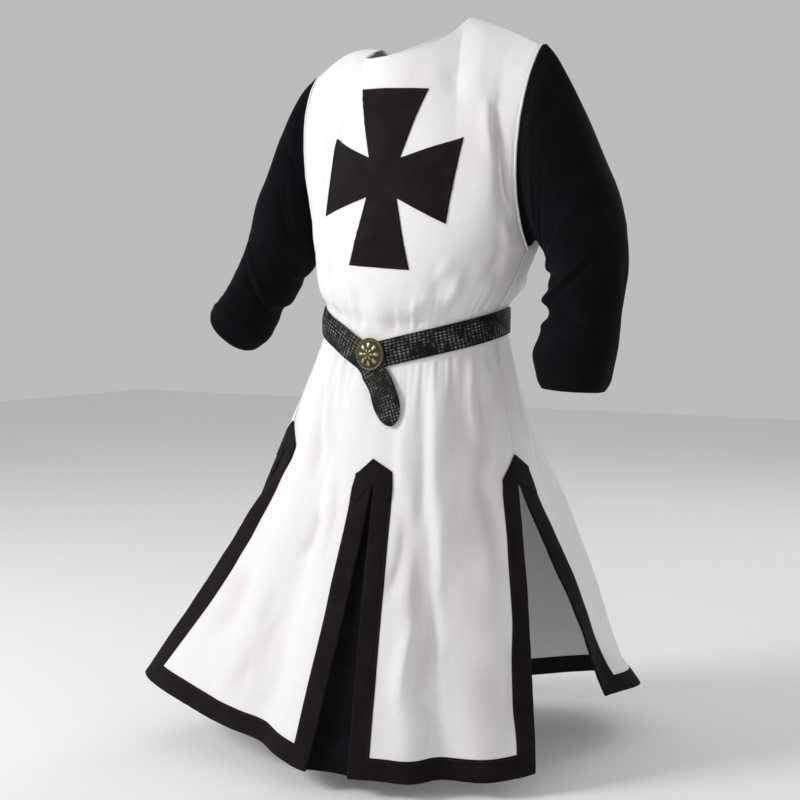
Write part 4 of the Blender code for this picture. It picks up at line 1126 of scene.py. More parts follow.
def build_panel(panel):
    """Front or back: one sheet from neck and shoulders to the hem, slit up its middle."""
    columns = (5, 68, 5)
    rows = (76, 36, 50, 116)
    half_count = sum(columns)
    bm = flat_grid(2 * half_count, sum(rows))
    tip_row = sum(rows[:3])
    slit = []
    for edge in bm.edges:
        ends = [vertex.co for vertex in edge.verts]
        in_middle = all(round(end.x) == half_count for end in ends)
        if in_middle and min(end.y for end in ends) > tip_row - 0.5:
            slit.append(edge)
    bmesh.ops.split_edges(bm, edges=slit)
    for vertex in bm.verts:
        if round(vertex.co.x) == half_count and vertex.co.y > tip_row + 0.5:
            centre = vertex.link_faces[0].calc_center_median()
            vertex.co.x += 0.25 if centre.x > half_count else -0.25
    places = places_of(bm)
    after = places[:, 0] > half_count + 0.1
    step = np.round(places[:, 0])
    share = spread(np.round(places[:, 1]), rows, (0.0, 1.0, 2.0, 3.0, 4.0))
    points = np.zeros((len(places), 3))
    offset = np.zeros(len(places))
    for half in (0, 1):
        mine = after if half else ~after
        column = spread(step[mine] - half * half_count, columns, (0.0, 1.0, COLUMNS - 1.0, COLUMNS))
        level = level_of(panel, half, column, share[mine])
        points[mine], offset[mine] = cloth(panel, half, column, level)
    facing = 1.0 if panel == "front" else -1.0
    # Painted shade: the cloth is darkened where its creases stand in, and in the soft patches of painted
    # shade and stains
    shade_and_stains = np.clip(0.40 * np.clip(-offset / 0.006, 0.0, 1.0) + shade_and_stain_strength(points), 0.0, 1.0)
    lay(bm, points, points[:, 0] * facing, points[:, 2], shade_and_stains)
    return piece_from(bm, dressed_name(panel), "white_cotton", SHEET, True)


def band_section():
    """Stations across a folded binding: share of its width in from the edge, and turn."""
    flat = (1.0, 0.97, 0.90, 0.75, 0.5, 0.25, 0.08)
    section = [(share, 0.0) for share in flat]
    section += [(0.0, turn) for turn in (0.0, 45.0, 90.0, 135.0, 180.0)]
    section += [(share, 180.0) for share in reversed(flat)]
    shares = np.array([share for share, turn in section])
    return shares, np.radians([turn for share, turn in section])


def folded(point, normal, edge_out, share, turn, lift):
    """Point of a binding that is folded round an edge."""
    hug = 1.0 - 0.45 * smooth((share - 0.93) / 0.07)
    stitch = 1.0 - 0.25 * bell((share - 0.90) / 0.03)
    rise = lift * np.cos(turn) * hug * stitch
    return point + normal * rise[..., None] + edge_out * (lift * np.sin(turn))[..., None]


def slit_band(panel, half, at_start):
    """Binding down one edge of a slit, closed below the hem."""
    rows = 150
    shares, turns = band_section()
    seam = SEAMS[PANEL_SEAMS[panel][half if at_start else half + 1]]
    bm = flat_grid(len(shares) - 1, rows + 3)
    places = steps_of(bm)
    share = shares[places[:, 0]]
    turn = turns[places[:, 0]]
    row = places[:, 1]
    level = mix(2.0 + seam.opens - 0.004, 3.0, np.minimum(row, rows) / rows)
    column = share if at_start else COLUMNS - share
    point, normal, across, down = surface(panel, half, column, level)
    edge_out = -across if at_start else across
    close = np.clip(row - rows, 0, 3) / 3.0 * np.pi / 2
    lift = LIFT * np.cos(close) + 0.0001
    point = point + down * (LIFT * 1.2 * np.sin(close))[:, None]
    uneven = 1.0 + 0.12 * lumps(level * 60.0, share * 2.0, 11 + half)
    points = folded(point, normal, edge_out, share, turn, lift * uneven)
    reach = np.where(turn > 1.6, -share - 0.1, share) * BAND
    lay(bm, points, reach, level * 0.62)
    if at_start:
        bmesh.ops.reverse_faces(bm, faces=bm.faces[:])
    return bm


def hem_band(panel, half):
    """Binding along a flap's hem, tucked under the bindings of its slits."""
    columns = 96
    shares, turns = band_section()
    bm = flat_grid(columns, len(shares) - 1)
    places = steps_of(bm)
    share = shares[places[:, 1]]
    turn = turns[places[:, 1]]
    column = mix(0.90, COLUMNS - 0.90, places[:, 0] / columns)
    level = mix(3.0, 2.0 + HEM_SHARE, share)
    point, normal, across, down = surface(panel, half, column, level)
    uneven = 1.0 + 0.12 * lumps(column * 9.0, share * 2.0, 17 + half)
    first = smooth(1.0 - (column - 0.9) / 0.25)
    last = smooth(1.0 - (COLUMNS - 0.9 - column) / 0.25)
    tucked = 1.0 - 0.4 * first - 0.4 * last
    points = folded(point, normal, down, share, turn, LIFT * uneven * tucked)
    reach = np.where(turn > 1.6, -share - 0.1, share) * BAND
    lay(bm, points, column * 0.035, reach)
    return bm


def joined(bm_list):
    """One bmesh of several."""
    whole = bmesh.new()
    for bm in bm_list:
        mesh = bpy.data.meshes.new("part")
        bm.to_mesh(mesh)
        bm.free()
        whole.from_mesh(mesh)
        bpy.data.meshes.remove(mesh)
    return whole


def build_bindings(flap):
    """Bindings round one flap of the skirt: down both slit edges and along the hem."""
    panel, half = FLAPS[flap]
    bands = [slit_band(panel, half, True), slit_band(panel, half, False), hem_band(panel, half)]
    piece = piece_from(joined(bands), f"bindings_{flap}", "black_binding", TAPE)
    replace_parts(piece, f"binding_{flap}_start", f"binding_{flap}_end", f"hem_{flap}")
    return piece


def around_slit(before, after, x, level):
    """Point, normal at a share of the band's width beside a slit, less than 0 before it."""
    left = surface(*FLAPS[before], COLUMNS - np.clip(-x, 0.0, 1.5), level)
    right = surface(*FLAPS[after], np.clip(x, 0.0, 1.5), level)
    share = smooth(x / 0.16 + 0.5)[..., None]
    return mix(left[0], right[0], share), unit(mix(left[1], right[1], share))


def build_peak(name):
    """Pointed piece over the top of a slit."""
    before, after, seam = PEAKS[name]
    opens = SEAMS[seam].opens
    columns, rows = 28, 34
    bm = flat_grid(columns, rows)
    places = places_of(bm)
    x = places[:, 0] / columns * 2.0 - 1.0
    down = places[:, 1] / rows
    top = opens * 6.0 / 7.0
    low = opens + 0.020 + 0.040 * smooth(np.abs(x) * 1.3)
    share = mix(top, low, down)
    shoulder = opens - 0.006
    wide = np.clip((share - top) / (shoulder - top), 0.0, 1.0)
    sewn = smooth((down - 0.55) / 0.45)
    width = np.clip(wide, 0.012, 1.0) * mix(1.03, 0.995, sewn)
    point, normal = around_slit(before, after, x * width, 2.0 + share)
    rim = smooth((np.abs(x) - 0.90) / 0.10) + smooth((0.06 - down) / 0.06)
    rim = np.clip(rim, 0.0, 1.0)
    points = point + normal * (0.0031 - 0.0009 * rim - 0.0005 * sewn * (1.0 - rim))[:, None]
    lay(bm, points, x * width * BAND, share * 0.62)
    bmesh.ops.remove_doubles(bm, verts=bm.verts, dist=0.00002)
    piece = piece_from(bm, dressed_name(name), "black_binding", TAPE, True)
    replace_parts(piece, name)
    return piece


def build_gore():
    """Black cloth behind the front slit, caught under the backs of its bindings."""
    columns, rows = 40, 120
    bm = flat_grid(columns, rows)
    places = places_of(bm)
    x = places[:, 0] / columns * 3.0
    down = places[:, 1] / rows
    level = 2.0 + mix(SEAMS["front"].opens + 0.004, 1.0, down)
    overlap = 0.7
    left = surface("front", 0, COLUMNS - np.clip(1.0 - x, 0.0, 1.0) * overlap, level)
    right = surface("front", 1, np.clip(x - 2.0, 0.0, 1.0) * overlap, level)
    share = smooth(x - 1.0)[:, None]
    point = mix(left[0], right[0], share)
    normal = unit(mix(left[1], right[1], share))
    open_part = np.sin(np.pi * np.clip(x - 1.0, 0.0, 1.0))
    fold = 0.0025 * open_part * lumps(x * 2.6, down * 2.5, 21)
    depth = 0.0037 + 0.010 * down * open_part - fold * down
    points = point - normal * depth[:, None]
    lay(bm, points, x * 0.02, level * 0.62)
    piece = piece_from(bm, dressed_name("front_gore"), "black_cotton", 0.0010, True)
    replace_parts(piece, "front_gore")
    return piece


def armhole(side, count):
    """Armhole as an even loop from the armpit up the front edge and down the back one."""
    front_half, front_column = (1, COLUMNS) if side > 0 else (0, 0.0)
    back_half, back_column = (0, 0.0) if side > 0 else (1, COLUMNS)
    level = np.linspace(1.0, 0.0, 81)
    front = surface("front", front_half, np.full(81, front_column), level)
    back = surface("back", back_half, np.full(81, back_column), level[::-1])
    front_out = front[2] * (1.0 if side > 0 else -1.0)
    back_out = back[2] * (-1.0 if side > 0 else 1.0)
    points = np.concatenate([front[0], back[0][1:-1]])
    normals = np.concatenate([front[1], back[1][1:-1]])
    outs = np.concatenate([front_out, back_out[1:-1]])
    for index, (a, b) in ((0, (0, -1)), (80, (-1, 0))):
        points[index] = (front[0][a] + back[0][b]) / 2
        normals[index] = unit(front[1][a] + back[1][b])
        outs[index] = unit(front_out[a] + back_out[b] + stack(0.0, 0.0, 0.3 if index == 0 else 0.0))
    lengths = run_of(looped(points))
    wanted = np.linspace(0.0, lengths[-1], count + 1)[:-1]

    def even(values):
        return read_line(wanted, lengths, looped(values))

    return even(points), unit(even(normals)), unit(even(outs)), lengths[-1]


def sleeve_ring(rings, side, along, turn, seed):
    """Point of the sleeve at a share of its length and an angle round it."""
    place = along * (len(rings) - 1)
    steps = list(range(len(rings)))

    def value(name):
        return curve(steps, [getattr(ring, name) for ring in rings], place)

    outer = stack(side * value("outer_x"), value("middle_y"), value("outer_z"))
    inner = stack(side * value("inner_x"), value("middle_y"), value("inner_z"))
    angle = np.degrees(turn)
    swell = np.zeros(np.broadcast(along, turn).shape)
    for tuck in TUCKS:
        around = wrapped(angle - tuck.angle)
        centre = tuck.along + tuck.slant * around
        swell = swell + tuck.depth * bell((along - centre) / tuck.length) * bell(around / tuck.width)
    swell = swell + 0.0012 * lumps(np.sin(turn) * 3.0 + 5.0, along * 9.0 + np.cos(turn) * 2.0, seed)
    swell = swell + 0.0005 * lumps(angle / 11.0, along * 26.0, seed + 1) * np.sin(turn / 2) ** 2
    across = (outer - inner) / 2
    out = unit(across) * -np.cos(turn)[..., None] + stack(0.0, -np.sin(turn), 0.0)
    ring = across * -np.cos(turn)[..., None] + stack(0.0, -value("half_depth") * np.sin(turn), 0.0)
    fade = smooth(along / 0.12)
    return (outer + inner) / 2 + ring + out * (swell * fade)[..., None]


def build_sleeve(side):
    """Sleeve from under the armhole's edge to its hemmed cuff."""
    name = "sleeve_left" if side > 0 else "sleeve_right"
    rings = LEFT_SLEEVE if side > 0 else RIGHT_SLEEVE
    count, rows = 112, 150
    loop, normals, outs, girth = armhole(side, count)
    bm = flat_grid(count, rows + 4)
    places = steps_of(bm)
    index = places[:, 0] % count
    row = places[:, 1]
    turn = index / count * 2 * np.pi
    along = np.clip((row - 4) / rows, 0.0, 1.0)
    point, normal, out = loop[index], normals[index], outs[index]
    leave = point + out * SLEEVE_LEAVES_OUT + normal * SLEEVE_LEAVES_UP
    plain = sleeve_ring(rings, side, along, turn, 31)
    start = sleeve_ring(rings, side, np.zeros(len(row)), turn, 31)
    keep = ((1.0 - smooth(along / SLEEVE_BLEND)) ** 1.5)[:, None]
    arm = plain + (leave - start) * keep
    tuck = np.clip(row / 4.0, 0.0, 1.0)[:, None]
    under = mix(point - out * 0.004 - normal * 0.0016, leave, tuck)
    points = np.where((row < 4)[:, None], under, arm)
    lay(bm, points, places[:, 0] / count * girth, along * 0.55)
    bmesh.ops.remove_doubles(bm, verts=bm.verts, dist=0.00001)
    bmesh.ops.recalc_face_normals(bm, faces=bm.faces)
    piece = piece_from(bm, dressed_name(name), "black_cotton", SHEET)
    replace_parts(piece, name)
    return piece


def roll(name, points, normals, outs, radius):
    """White rolled edge of cloth that follows a loop."""
    around = 10
    count = len(points)
    bm = flat_grid(count, around)
    places = steps_of(bm)
    index = places[:, 0] % count
    turn = places[:, 1] % around / around * 2 * np.pi
    wave = radius * (1.0 + 0.14 * lumps(index * 0.37, turn, 41))
    ring = normals[index] * np.cos(turn)[:, None] + outs[index] * np.sin(turn)[:, None]
    lay(bm, points[index] + ring * wave[:, None], places[:, 0] * 0.005, places[:, 1] * 0.0008)
    bmesh.ops.remove_doubles(bm, verts=bm.verts, dist=0.00001)
    bmesh.ops.recalc_face_normals(bm, faces=bm.faces)
    return piece_from(bm, name, "white_cotton")


def build_armhole_edge(side):
    """White rolled edge round an armhole, over the top of the sleeve."""
    points, normals, outs, girth = armhole(side, 150)
    points = points + normals * 0.0008 - outs * 0.0004
    name = "armhole_edge_left" if side > 0 else "armhole_edge_right"
    return roll(name, points, normals, outs, 0.0021)


def neck_line():
    """Neckline as a loop: across the front towards the left and back across the back."""
    columns = {}
    for panel in ("front", "back"):
        middle = float(seam_angle(PANEL_SEAMS[panel][1], np.array(1.0), True))
        for half in (0, 1):
            column = np.linspace(0.0, COLUMNS, 400)
            angle = form(panel, half, column, np.full(400, 1.0))[1]
            inside = np.abs((angle - middle) / 90.0) <= NECK_SHARE
            columns[panel, half] = column[inside]
    parts = []
    for panel in ("front", "back"):
        for half in (0, 1):
            column = columns[panel, half]
            even = np.linspace(column[0], column[-1], 34)
            parts.append(surface(panel, half, even, np.full(34, 0.0)))
    points = np.concatenate([part[0][:-1] for part in parts])
    normals = np.concatenate([part[1][:-1] for part in parts])
    downs = np.concatenate([part[3][:-1] for part in parts])
    return points, normals, -downs


def build_neck_edge():
    points, normals, outs = neck_line()
    points = points - outs * 0.0005
    return roll("neck_edge", points, normals, outs, 0.0019)


def cross_outline():
    """Corners of the cross in the chest's own frame, as width and height."""
    corners = []
    for quarter, arm in enumerate(CROSS_ARMS):
        turn = Matrix.Rotation(math.pi / 2 * quarter, 2)
        for corner in (
            (arm.reach - arm.lean, -arm.half_end),
            (arm.reach + arm.lean, arm.half_end),
            (CROSS_WAIST, CROSS_WAIST),
        ):
            x, z = turn @ Vector(corner)
            corners.append((CROSS_ACROSS + x, CROSS_HEIGHT + z - CROSS_SAG * x))
    return corners


def front_tree():
    mesh = bpy.data.objects[dressed_name("front")].data
    return BVHTree.FromPolygons([v.co for v in mesh.vertices], [tuple(p.vertices) for p in mesh.polygons])


def onto_front(tree, x, z):
    """Point and outward normal of the front at a place of the chest's own frame."""
    start = Vector(from_chest(np.array([x, -0.30, z])))
    way = Vector(from_chest(np.array([0.0, 1.0, 0.0]))) - Vector(from_chest(np.zeros(3)))
    point, normal, face, distance = tree.ray_cast(start, way)
    if point is None:
        raise RuntimeError("the cross reaches past the front")
    if normal.dot(way) > 0.0:
        normal = -normal
    return point, normal


def build_cross():
    """Cross of black cloth laid on the chest and sewn down round its edge."""
    tree = front_tree()
    corners = cross_outline()
    bm = bmesh.new()
    ring = bmesh.ops.create_circle(bm, cap_ends=True, segments=len(corners), radius=1.0)["verts"]
    ring.sort(key=lambda vertex: math.atan2(vertex.co.y, vertex.co.x) % (2 * math.pi))
    for vertex, (x, z) in zip(ring, corners):
        vertex.co = (x, z, 0.0)
    step = 0.0036
    for axis in (0, 1):
        values = [corner[axis] for corner in corners]
        place = min(values) + step
        while place < max(values) - 0.0005:
            centre = [0.0, 0.0, 0.0]
            normal = [0.0, 0.0, 0.0]
            centre[axis] = place
            normal[axis] = 1.0
            geometry = bm.verts[:] + bm.edges[:] + bm.faces[:]
            bmesh.ops.bisect_plane(bm, geom=geometry, plane_co=centre, plane_no=normal, dist=0.00005)
            place += step
    across = [vertex.co.x for vertex in bm.verts]
    down = [vertex.co.y for vertex in bm.verts]
    rims = {vertex for vertex in bm.verts if vertex.is_boundary}
    points = []
    for vertex in bm.verts:
        point, normal = onto_front(tree, vertex.co.x, vertex.co.y)
        if vertex in rims:
            lift = 0.0015
        else:
            lift = 0.0022 + 0.0003 * math.sin(vertex.co.x * 90.0 + vertex.co.y * 70.0)
        points.append(point + normal * lift)
    lay(bm, points, across, down)
    bmesh.ops.recalc_face_normals(bm, faces=bm.faces)
    bm.faces.ensure_lookup_table()
    if bm.faces[0].normal.y > 0.0:
        bmesh.ops.reverse_faces(bm, faces=bm.faces[:])
    piece = piece_from(bm, dressed_name("cross"), "black_binding", 0.0010, bevel=0.0003)
    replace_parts(piece, "cross")
    return piece


def sew(bm, line, normals, stitch):
    """Row of stitches along a line of points."""
    length, gap, radius = stitch
    lengths = run_of(line)
    place = gap
    while place + length < lengths[-1]:
        start = read_line(place, lengths, line)
        end = read_line(place + length, lengths, line)
        up = read_line(place, lengths, normals)
        run = Vector(end - start)
        if run.length > length * 0.5:
            along = run.normalized()
            normal = Vector(up)
            normal = (normal - along * normal.dot(along)).normalized()
            side = normal.cross(along)
            turn = Matrix((along, side, normal)).transposed().to_4x4()
            size = Matrix.Diagonal((length / 2, radius, radius * 0.8, 1.0))
            middle = Matrix.Translation(Vector((start + end) / 2))
            bmesh.ops.create_icosphere(bm, subdivisions=1, radius=1.0, matrix=middle @ turn @ size)
        place += length + gap


def build_binding_stitches():
    """Edge stitching along the bindings of slits and hems and round the cross."""
    bm = bmesh.new()
    for flap, (panel, half) in FLAPS.items():
        for at_start in (True, False):
            seam = SEAMS[PANEL_SEAMS[panel][half if at_start else half + 1]]
            level = np.linspace(2.0 + seam.opens + 0.06, 2.0 + HEM_SHARE, 160)
            column = np.full(160, 0.90 if at_start else COLUMNS - 0.90)
            point, normal, across, down = surface(panel, half, column, level)
            sew(bm, point + normal * (LIFT + TAPE / 2 - 0.0003), normal, BINDING_STITCH)
        column = np.linspace(1.0, COLUMNS - 1.0, 160)
        level = np.full(160, mix(3.0, 2.0 + HEM_SHARE, 0.90))
        point, normal, across, down = surface(panel, half, column, level)
        sew(bm, point + normal * (LIFT + TAPE / 2 - 0.0003), normal, BINDING_STITCH)
    tree = front_tree()
    corners = cross_outline()
    middle = Vector((CROSS_ACROSS, CROSS_HEIGHT))
    inner = []
    count = len(corners)
    for index in range(count):
        here = Vector(corners[index])
        before = (here - Vector(corners[index - 1])).normalized()
        after = (Vector(corners[(index + 1) % count]) - here).normalized()
        inward = Vector((-before.y - after.y, before.x + after.x)) / (1.0 + before.dot(after))
        inner.append(here + inward * 0.0030)
    line = []
    for here, after in zip(inner, inner[1:] + inner[:1]):
        for step in range(24):
            line.append(here.lerp(after, step / 24.0))
    hits = [onto_front(tree, place.x, place.y) for place in line]
    points = np.array([point + normal * 0.0026 for point, normal in hits])
    normals = np.array([normal for point, normal in hits])
    sew(bm, points, normals, CROSS_STITCH)
    material = once("black thread", lambda name: thread_finish(name, (0.020, 0.018, 0.020)))
    return piece_from(bm, "black_stitches", "black_binding", material=material)


def build_white_stitches():
    """White stitching beside the armholes and the neck."""
    bm = bmesh.new()
    for side in (1.0, -1.0):
        points, normals, outs, girth = armhole(side, 240)
        line = points - outs * 0.0065 + normals * 0.0009
        sew(bm, looped(line), looped(normals), WHITE_STITCH)
    points, normals, outs = neck_line()
    line = points - outs * 0.0070 + normals * 0.0010
    sew(bm, looped(line), looped(normals), WHITE_STITCH)
    material = once("white thread", lambda name: thread_finish(name, (0.70, 0.69, 0.68)))
    return piece_from(bm, "white_stitches", "white_cotton", material=material)


def belt_line(share):
    share = np.clip(share, 0.0, 1.0)
    angle = read(BELT, "along", "angle", share)
    return angle, belt_height(angle) - read(BELT, "along", "drop", share)


def skin_normal(angle, level):
    round_way = skin(angle + 1.0, level) - skin(angle - 1.0, level)
    down = skin(angle, np.minimum(level + 0.01, 3.0)) - skin(angle, np.maximum(level - 0.01, 1.0))
    return unit(np.cross(down, round_way))


def level_at(angle, height):
    """Level at which the skin has a height, below the armpit line."""
    line = belt_height(angle)
    low = read_round(HEM, "height", angle)
    return np.where(
        height >= line,
        2.0 - (height - line) / (ARMPIT_HEIGHT - line),
        2.0 + (line - height) / (line - low),
    )


def belt_place(along, across):
    """Point of the belt's middle layer and its normal."""
    angle, height = belt_line(along)
    before = belt_line(along - 0.004)
    after = belt_line(along + 0.004)
    metre = np.linalg.norm(skin(angle + 1.0, 2.0) - skin(angle, 2.0), axis=-1)
    run = (after[0] - before[0]) * metre
    rise = after[1] - before[1]
    length = np.hypot(run, rise)
    angle = angle + across * -rise / length / metre
    height = height + across * run / length
    level = level_at(angle, height)
    normal = skin_normal(angle, level)
    over = np.clip(read(BELT, "along", "over", along), 0.0, 1.0)
    lift = CLOTH / 2 + EASE + LEATHER / 2 + over * (LEATHER + EASE)
    return skin(angle, level) + normal * lift[..., None], normal


def build_belt():
    """Strap with rounded edges, from its free tongue round the waist to the buckle."""
    props = bpy.context.scene.tabard_belt
    stations, lanes = 460, 12
    bm = flat_grid(stations, lanes)
    places = places_of(bm)
    along = places[:, 0] / stations
    lane = places[:, 1] / lanes * 2.0 - 1.0
    tongue = 0.058
    taper = np.sqrt(np.clip(1.0 - (1.0 - np.clip(along / tongue, 0.0, 1.0)) ** 2, 0.002, 1.0))
    across = lane * props.width / 2 * taper
    point, normal = belt_place(along, across)
    crown = 0.0004 * (1.0 - lane ** 4)
    points = point + normal * crown[:, None]
    lay(bm, points, along * 1.12, across)
    piece = piece_from(bm, "belt_leather", "black_leather", LEATHER - 0.0004)
    edge = piece.modifiers.new("rounding", "BEVEL")
    edge.width = 0.0008
    edge.segments = 3
    edge.limit_method = "ANGLE"
    edge.angle_limit = math.radians(55.0)
    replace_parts(piece, "belt")
    return piece


def relief(radius, turn):
    """Height of the buckle's chased rosette above its plain dome."""
    petals = np.cos(turn * 8.0) * bell((radius - 0.0128) / 0.0042) * 0.00055
    inner = np.cos(turn * 6.0 + 0.5) * bell((radius - 0.0062) / 0.0022) * 0.00040
    beads = np.cos(turn * 40.0) * bell((radius - 0.0215) / 0.0009) * 0.00030
    groove = -0.0004 * bell((radius - 0.0188) / 0.0008) - 0.0003 * bell((radius - 0.0090) / 0.0008)
    return petals + inner + beads + groove


def build_buckle():
    """Round domed buckle with a chased rosette and a beaded rim."""
    places = [Vector((radius, 0.0, height)) for radius, height in BUCKLE_PROFILE]
    fine = [places[0]]
    for start, end in zip(places, places[1:]):
        steps = max(1, round((end - start).length / 0.0006))
        for step in range(1, steps + 1):
            fine.append(start.lerp(end, step / steps))
    bm = bmesh.new()
    profile = [bm.verts.new(place) for place in fine]
    edges = [bm.edges.new(pair) for pair in zip(profile, profile[1:])]
    bmesh.ops.spin(
        bm,
        geom=profile + edges,
        axis=(0.0, 0.0, 1.0),
        cent=(0.0, 0.0, 0.0),
        angle=2 * math.pi,
        steps=200,
        use_merge=True,
    )
    bmesh.ops.remove_doubles(bm, verts=bm.verts, dist=0.00001)
    shade = bm.verts.layers.float.new("hollow")
    for vertex in bm.verts:
        radius = vertex.co.to_2d().length
        if vertex.co.z > 0.0015:
            rise = float(relief(radius, math.atan2(vertex.co.y, vertex.co.x)))
            vertex.co.z += rise
            vertex[shade] = min(max(0.5 - rise / 0.0008, 0.0), 1.0)
    normal = Vector(skin_normal(np.array(BUCKLE_ANGLE), np.array(2.0)))
    lift = CLOTH / 2 + 3 * EASE + 2 * LEATHER
    centre = Vector(skin(BUCKLE_ANGLE, 2.0)) + normal * lift
    turn = normal.to_track_quat("Z", "Y").to_matrix().to_4x4()
    bmesh.ops.transform(bm, matrix=Matrix.Translation(centre) @ turn, verts=bm.verts)
    bmesh.ops.recalc_face_normals(bm, faces=bm.faces)
    piece = piece_from(bm, "buckle_brass", "antique_brass", soft=80.0)
    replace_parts(piece, "buckle")
    return piece


def build_stage():
    """Pale floor, soft lights and the camera at the photograph's angle."""
    props = bpy.context.scene.tabard_stage
    bm = bmesh.new()
    bmesh.ops.create_grid(bm, x_segments=1, y_segments=1, size=6.0)
    bmesh.ops.translate(bm, verts=bm.verts, vec=(0.0, 0.0, FLOOR_HEIGHT))
    mesh = bpy.data.meshes.new("floor")
    bm.to_mesh(mesh)
    bm.free()
    mesh.materials.append(once("pale floor", pale_floor))
    floor = bpy.data.objects.new("floor", mesh)
    bpy.context.scene.collection.objects.link(floor)

    def area(name, place, size, power, tint):
        light = bpy.data.lights.new(name, "AREA")
        light.shape = "DISK"
        light.size = size
        light.energy = power
        light.color = tint
        lamp = bpy.data.objects.new(name, light)
        lamp.location = place
        way = Vector((0.0, 0.0, -0.55)) - Vector(place)
        lamp.rotation_euler = way.to_track_quat("-Z", "Y").to_euler()
        bpy.context.scene.collection.objects.link(lamp)

    area("key", (-2.1, -2.2, 0.9), 1.1, props.key, (1.0, 1.0, 0.99))
    area("fill", (1.6, -2.2, 0.2), 1.6, props.key * 0.06, (1.0, 0.91, 0.90))
    area("back", (0.8, 2.4, 1.4), 2.0, props.key * 0.26, (0.98, 0.98, 1.0))
    world = bpy.data.worlds.new("studio")
    world.use_nodes = True
    background = world.node_tree.nodes["Background"]
    background.inputs["Color"].default_value = (1.0, 1.0, 1.0, 1.0)
    background.inputs["Strength"].default_value = props.surround
    bpy.context.scene.world = world
    bpy.context.scene.view_settings.view_transform = "Standard"

    camera = bpy.data.objects.new("camera", bpy.data.cameras.new("camera"))
    camera.data.lens = CAMERA_LENS
    camera.data.sensor_width = 36.0
    camera.location = CAMERA_PLACE
    look = Vector(CAMERA_TARGET) - Vector(CAMERA_PLACE)
    camera.rotation_euler = look.to_track_quat("-Z", "Y").to_euler()
    bpy.context.scene.collection.objects.link(camera)
    bpy.context.scene.camera = camera


def declare_cloth():
    """Gathers the names of the trims sewn on the front, and does nothing with them."""

    sewn_on = ("cross", "front_gore", "peak_front", "peak_left", "peak_right")
    front_trims = [dressed_name(name) for name in sewn_on]
    front_trims += ["bindings_front_right", "bindings_front_left"]


class TabardCloth(bpy.types.PropertyGroup):
    """Sizes and colours of the cloth."""

    thread: bpy.props.FloatProperty(
        name="Thread", description="Width of two threads of the weave",
        default=0.0009, unit="LENGTH"
    )
    white: bpy.props.FloatVectorProperty(
        name="White", description="Colour of the front and back",
        default=(0.81, 0.80, 0.80), subtype="COLOR"
    )
    black: bpy.props.FloatVectorProperty(
        name="Black", description="Colour of the sleeves and gore",
        default=(0.0024, 0.0024, 0.0034), subtype="COLOR"
    )
    tape: bpy.props.FloatVectorProperty(
        name="Binding", description="Colour of bindings and cross",
        default=(0.0075, 0.0052, 0.0056), subtype="COLOR"
    )


class TabardBelt(bpy.types.PropertyGroup):
    """Sizes and colours of the belt and buckle."""

    width: bpy.props.FloatProperty(
        name="Width", description="Width of the strap", default=0.040, unit="LENGTH"
    )
    emboss: bpy.props.FloatProperty(
        name="Emboss", description="Width of one cell of the basket weave",
        default=0.0072, unit="LENGTH"
    )
    leather: bpy.props.FloatVectorProperty(
        name="Leather", description="Colour of the leather",
        default=(0.0034, 0.0030, 0.0028), subtype="COLOR"
    )
    # Colour painted on the raised crowns of the leather, partly highlight and partly wear
    highlight_and_wear: bpy.props.FloatVectorProperty(
        name="Worn leather", description="Colour of its worn crowns",
        default=(0.26, 0.25, 0.22), subtype="COLOR"
    )
    brass: bpy.props.FloatVectorProperty(
        name="Brass", description="Colour of the buckle",
        default=(0.36, 0.31, 0.17), subtype="COLOR"
    )


class TabardStage(bpy.types.PropertyGroup):
    """Light of the stage."""

    key: bpy.props.FloatProperty(
        name="Key light", description="Power of the main light", default=76.0, unit="POWER"
    )
    surround: bpy.props.FloatProperty(
        name="Surround", description="Strength of the light from all round", default=0.50
    )


class TABARD_OT_panels(bpy.types.Operator):
    """Adds the white front and back"""

    bl_idname = "tabard.panels"
    bl_label = "Front and back"

    def execute(self, context):
        for panel in ("front", "back"):
            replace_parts(build_panel(panel), panel)
        return {"FINISHED"}


class TABARD_OT_sleeves(bpy.types.Operator):
    """Adds the black sleeves"""

    bl_idname = "tabard.sleeves"
    bl_label = "Sleeves"

    def execute(self, context):
        build_sleeve(1.0)
        build_sleeve(-1.0)
        return {"FINISHED"}


class TABARD_OT_edges(bpy.types.Operator):
    """Adds the rolled edges of armholes and neck"""

    bl_idname = "tabard.edges"
    bl_label = "Rolled edges"

    def execute(self, context):
        build_armhole_edge(1.0)
        build_armhole_edge(-1.0)
        build_neck_edge()
        return {"FINISHED"}


class TABARD_OT_cross(bpy.types.Operator):
    """Adds the cross on the chest"""

    bl_idname = "tabard.cross"
    bl_label = "Cross"

    def execute(self, context):
        build_cross()
        return {"FINISHED"}


class TABARD_OT_bindings(bpy.types.Operator):
    """Adds the bindings of slits and hem, the peaks and the gore"""

    bl_idname = "tabard.bindings"
    bl_label = "Bindings, peaks and gore"

    def execute(self, context):
        for flap in FLAPS:
            build_bindings(flap)
        for peak in PEAKS:
            build_peak(peak)
        build_gore()
        return {"FINISHED"}


class TABARD_OT_stitches(bpy.types.Operator):
    """Adds the rows of stitches"""

    bl_idname = "tabard.stitches"
    bl_label = "Stitches"

    def execute(self, context):
        build_binding_stitches()
        build_white_stitches()
        return {"FINISHED"}


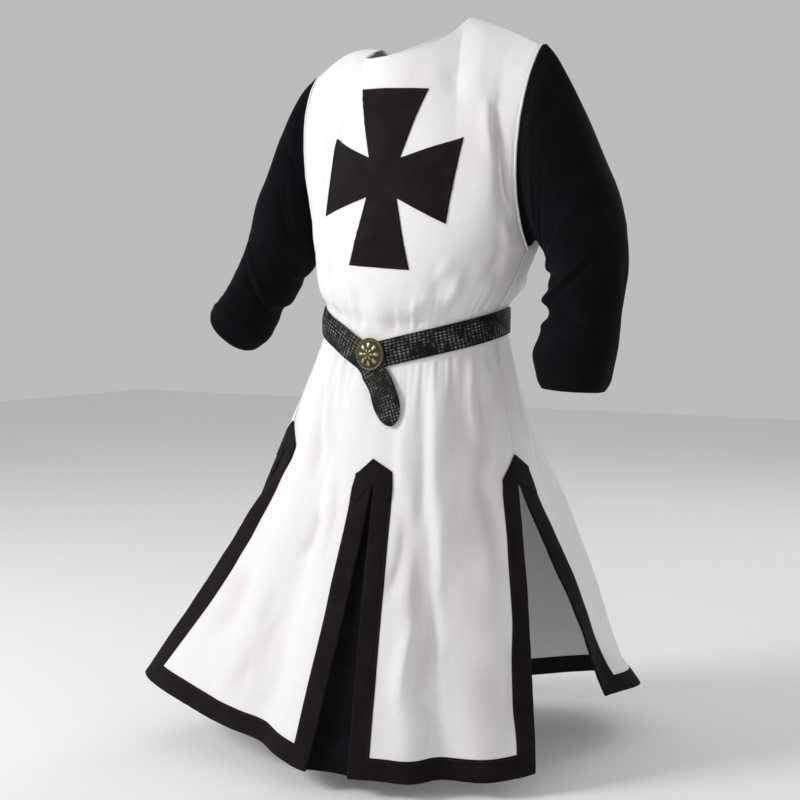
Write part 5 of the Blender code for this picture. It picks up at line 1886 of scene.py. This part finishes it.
class TABARD_OT_belt(bpy.types.Operator):
    """Adds the embossed leather belt"""

    bl_idname = "tabard.belt"
    bl_label = "Belt"

    def execute(self, context):
        build_belt()
        return {"FINISHED"}


class TABARD_OT_buckle(bpy.types.Operator):
    """Adds the round brass buckle"""

    bl_idname = "tabard.buckle"
    bl_label = "Buckle"

    def execute(self, context):
        build_buckle()
        return {"FINISHED"}


class TABARD_OT_stage(bpy.types.Operator):
    """Adds floor, lights and camera"""

    bl_idname = "tabard.stage"
    bl_label = "Stage"

    def execute(self, context):
        build_stage()
        return {"FINISHED"}


STEPS = (
    TABARD_OT_panels,
    TABARD_OT_sleeves,
    TABARD_OT_edges,
    TABARD_OT_cross,
    TABARD_OT_bindings,
    TABARD_OT_stitches,
    TABARD_OT_belt,
    TABARD_OT_buckle,
    TABARD_OT_stage,
)


class TABARD_PT_sidebar(bpy.types.Panel):
    """Lists the settings and the steps"""

    bl_label = "Tabard"
    bl_space_type = "VIEW_3D"
    bl_region_type = "UI"
    bl_category = "Tabard"

    def draw(self, context):
        for group in (context.scene.tabard_cloth, context.scene.tabard_belt, context.scene.tabard_stage):
            for name in group.__annotations__:
                self.layout.prop(group, name)
        for step in STEPS:
            self.layout.operator(step.bl_idname)


GROUPS = {"tabard_cloth": TabardCloth, "tabard_belt": TabardBelt, "tabard_stage": TabardStage}


def register():
    for item in (*GROUPS.values(), *STEPS, TABARD_PT_sidebar):
        bpy.utils.register_class(item)
    for name, group in GROUPS.items():
        setattr(bpy.types.Scene, name, bpy.props.PointerProperty(type=group))


def unregister():
    for name in GROUPS:
        delattr(bpy.types.Scene, name)
    for item in (TABARD_PT_sidebar, *reversed(STEPS), *reversed(GROUPS.values())):
        bpy.utils.unregister_class(item)


def main():
    register()
    bpy.ops.tabard.panels()
    bpy.ops.tabard.sleeves()
    bpy.ops.tabard.edges()
    bpy.ops.tabard.cross()
    bpy.ops.tabard.bindings()
    bpy.ops.tabard.stitches()
    bpy.ops.tabard.belt()
    bpy.ops.tabard.buckle()
    bpy.ops.tabard.stage()
    declare_cloth()


if __name__ == "__main__":
    main()
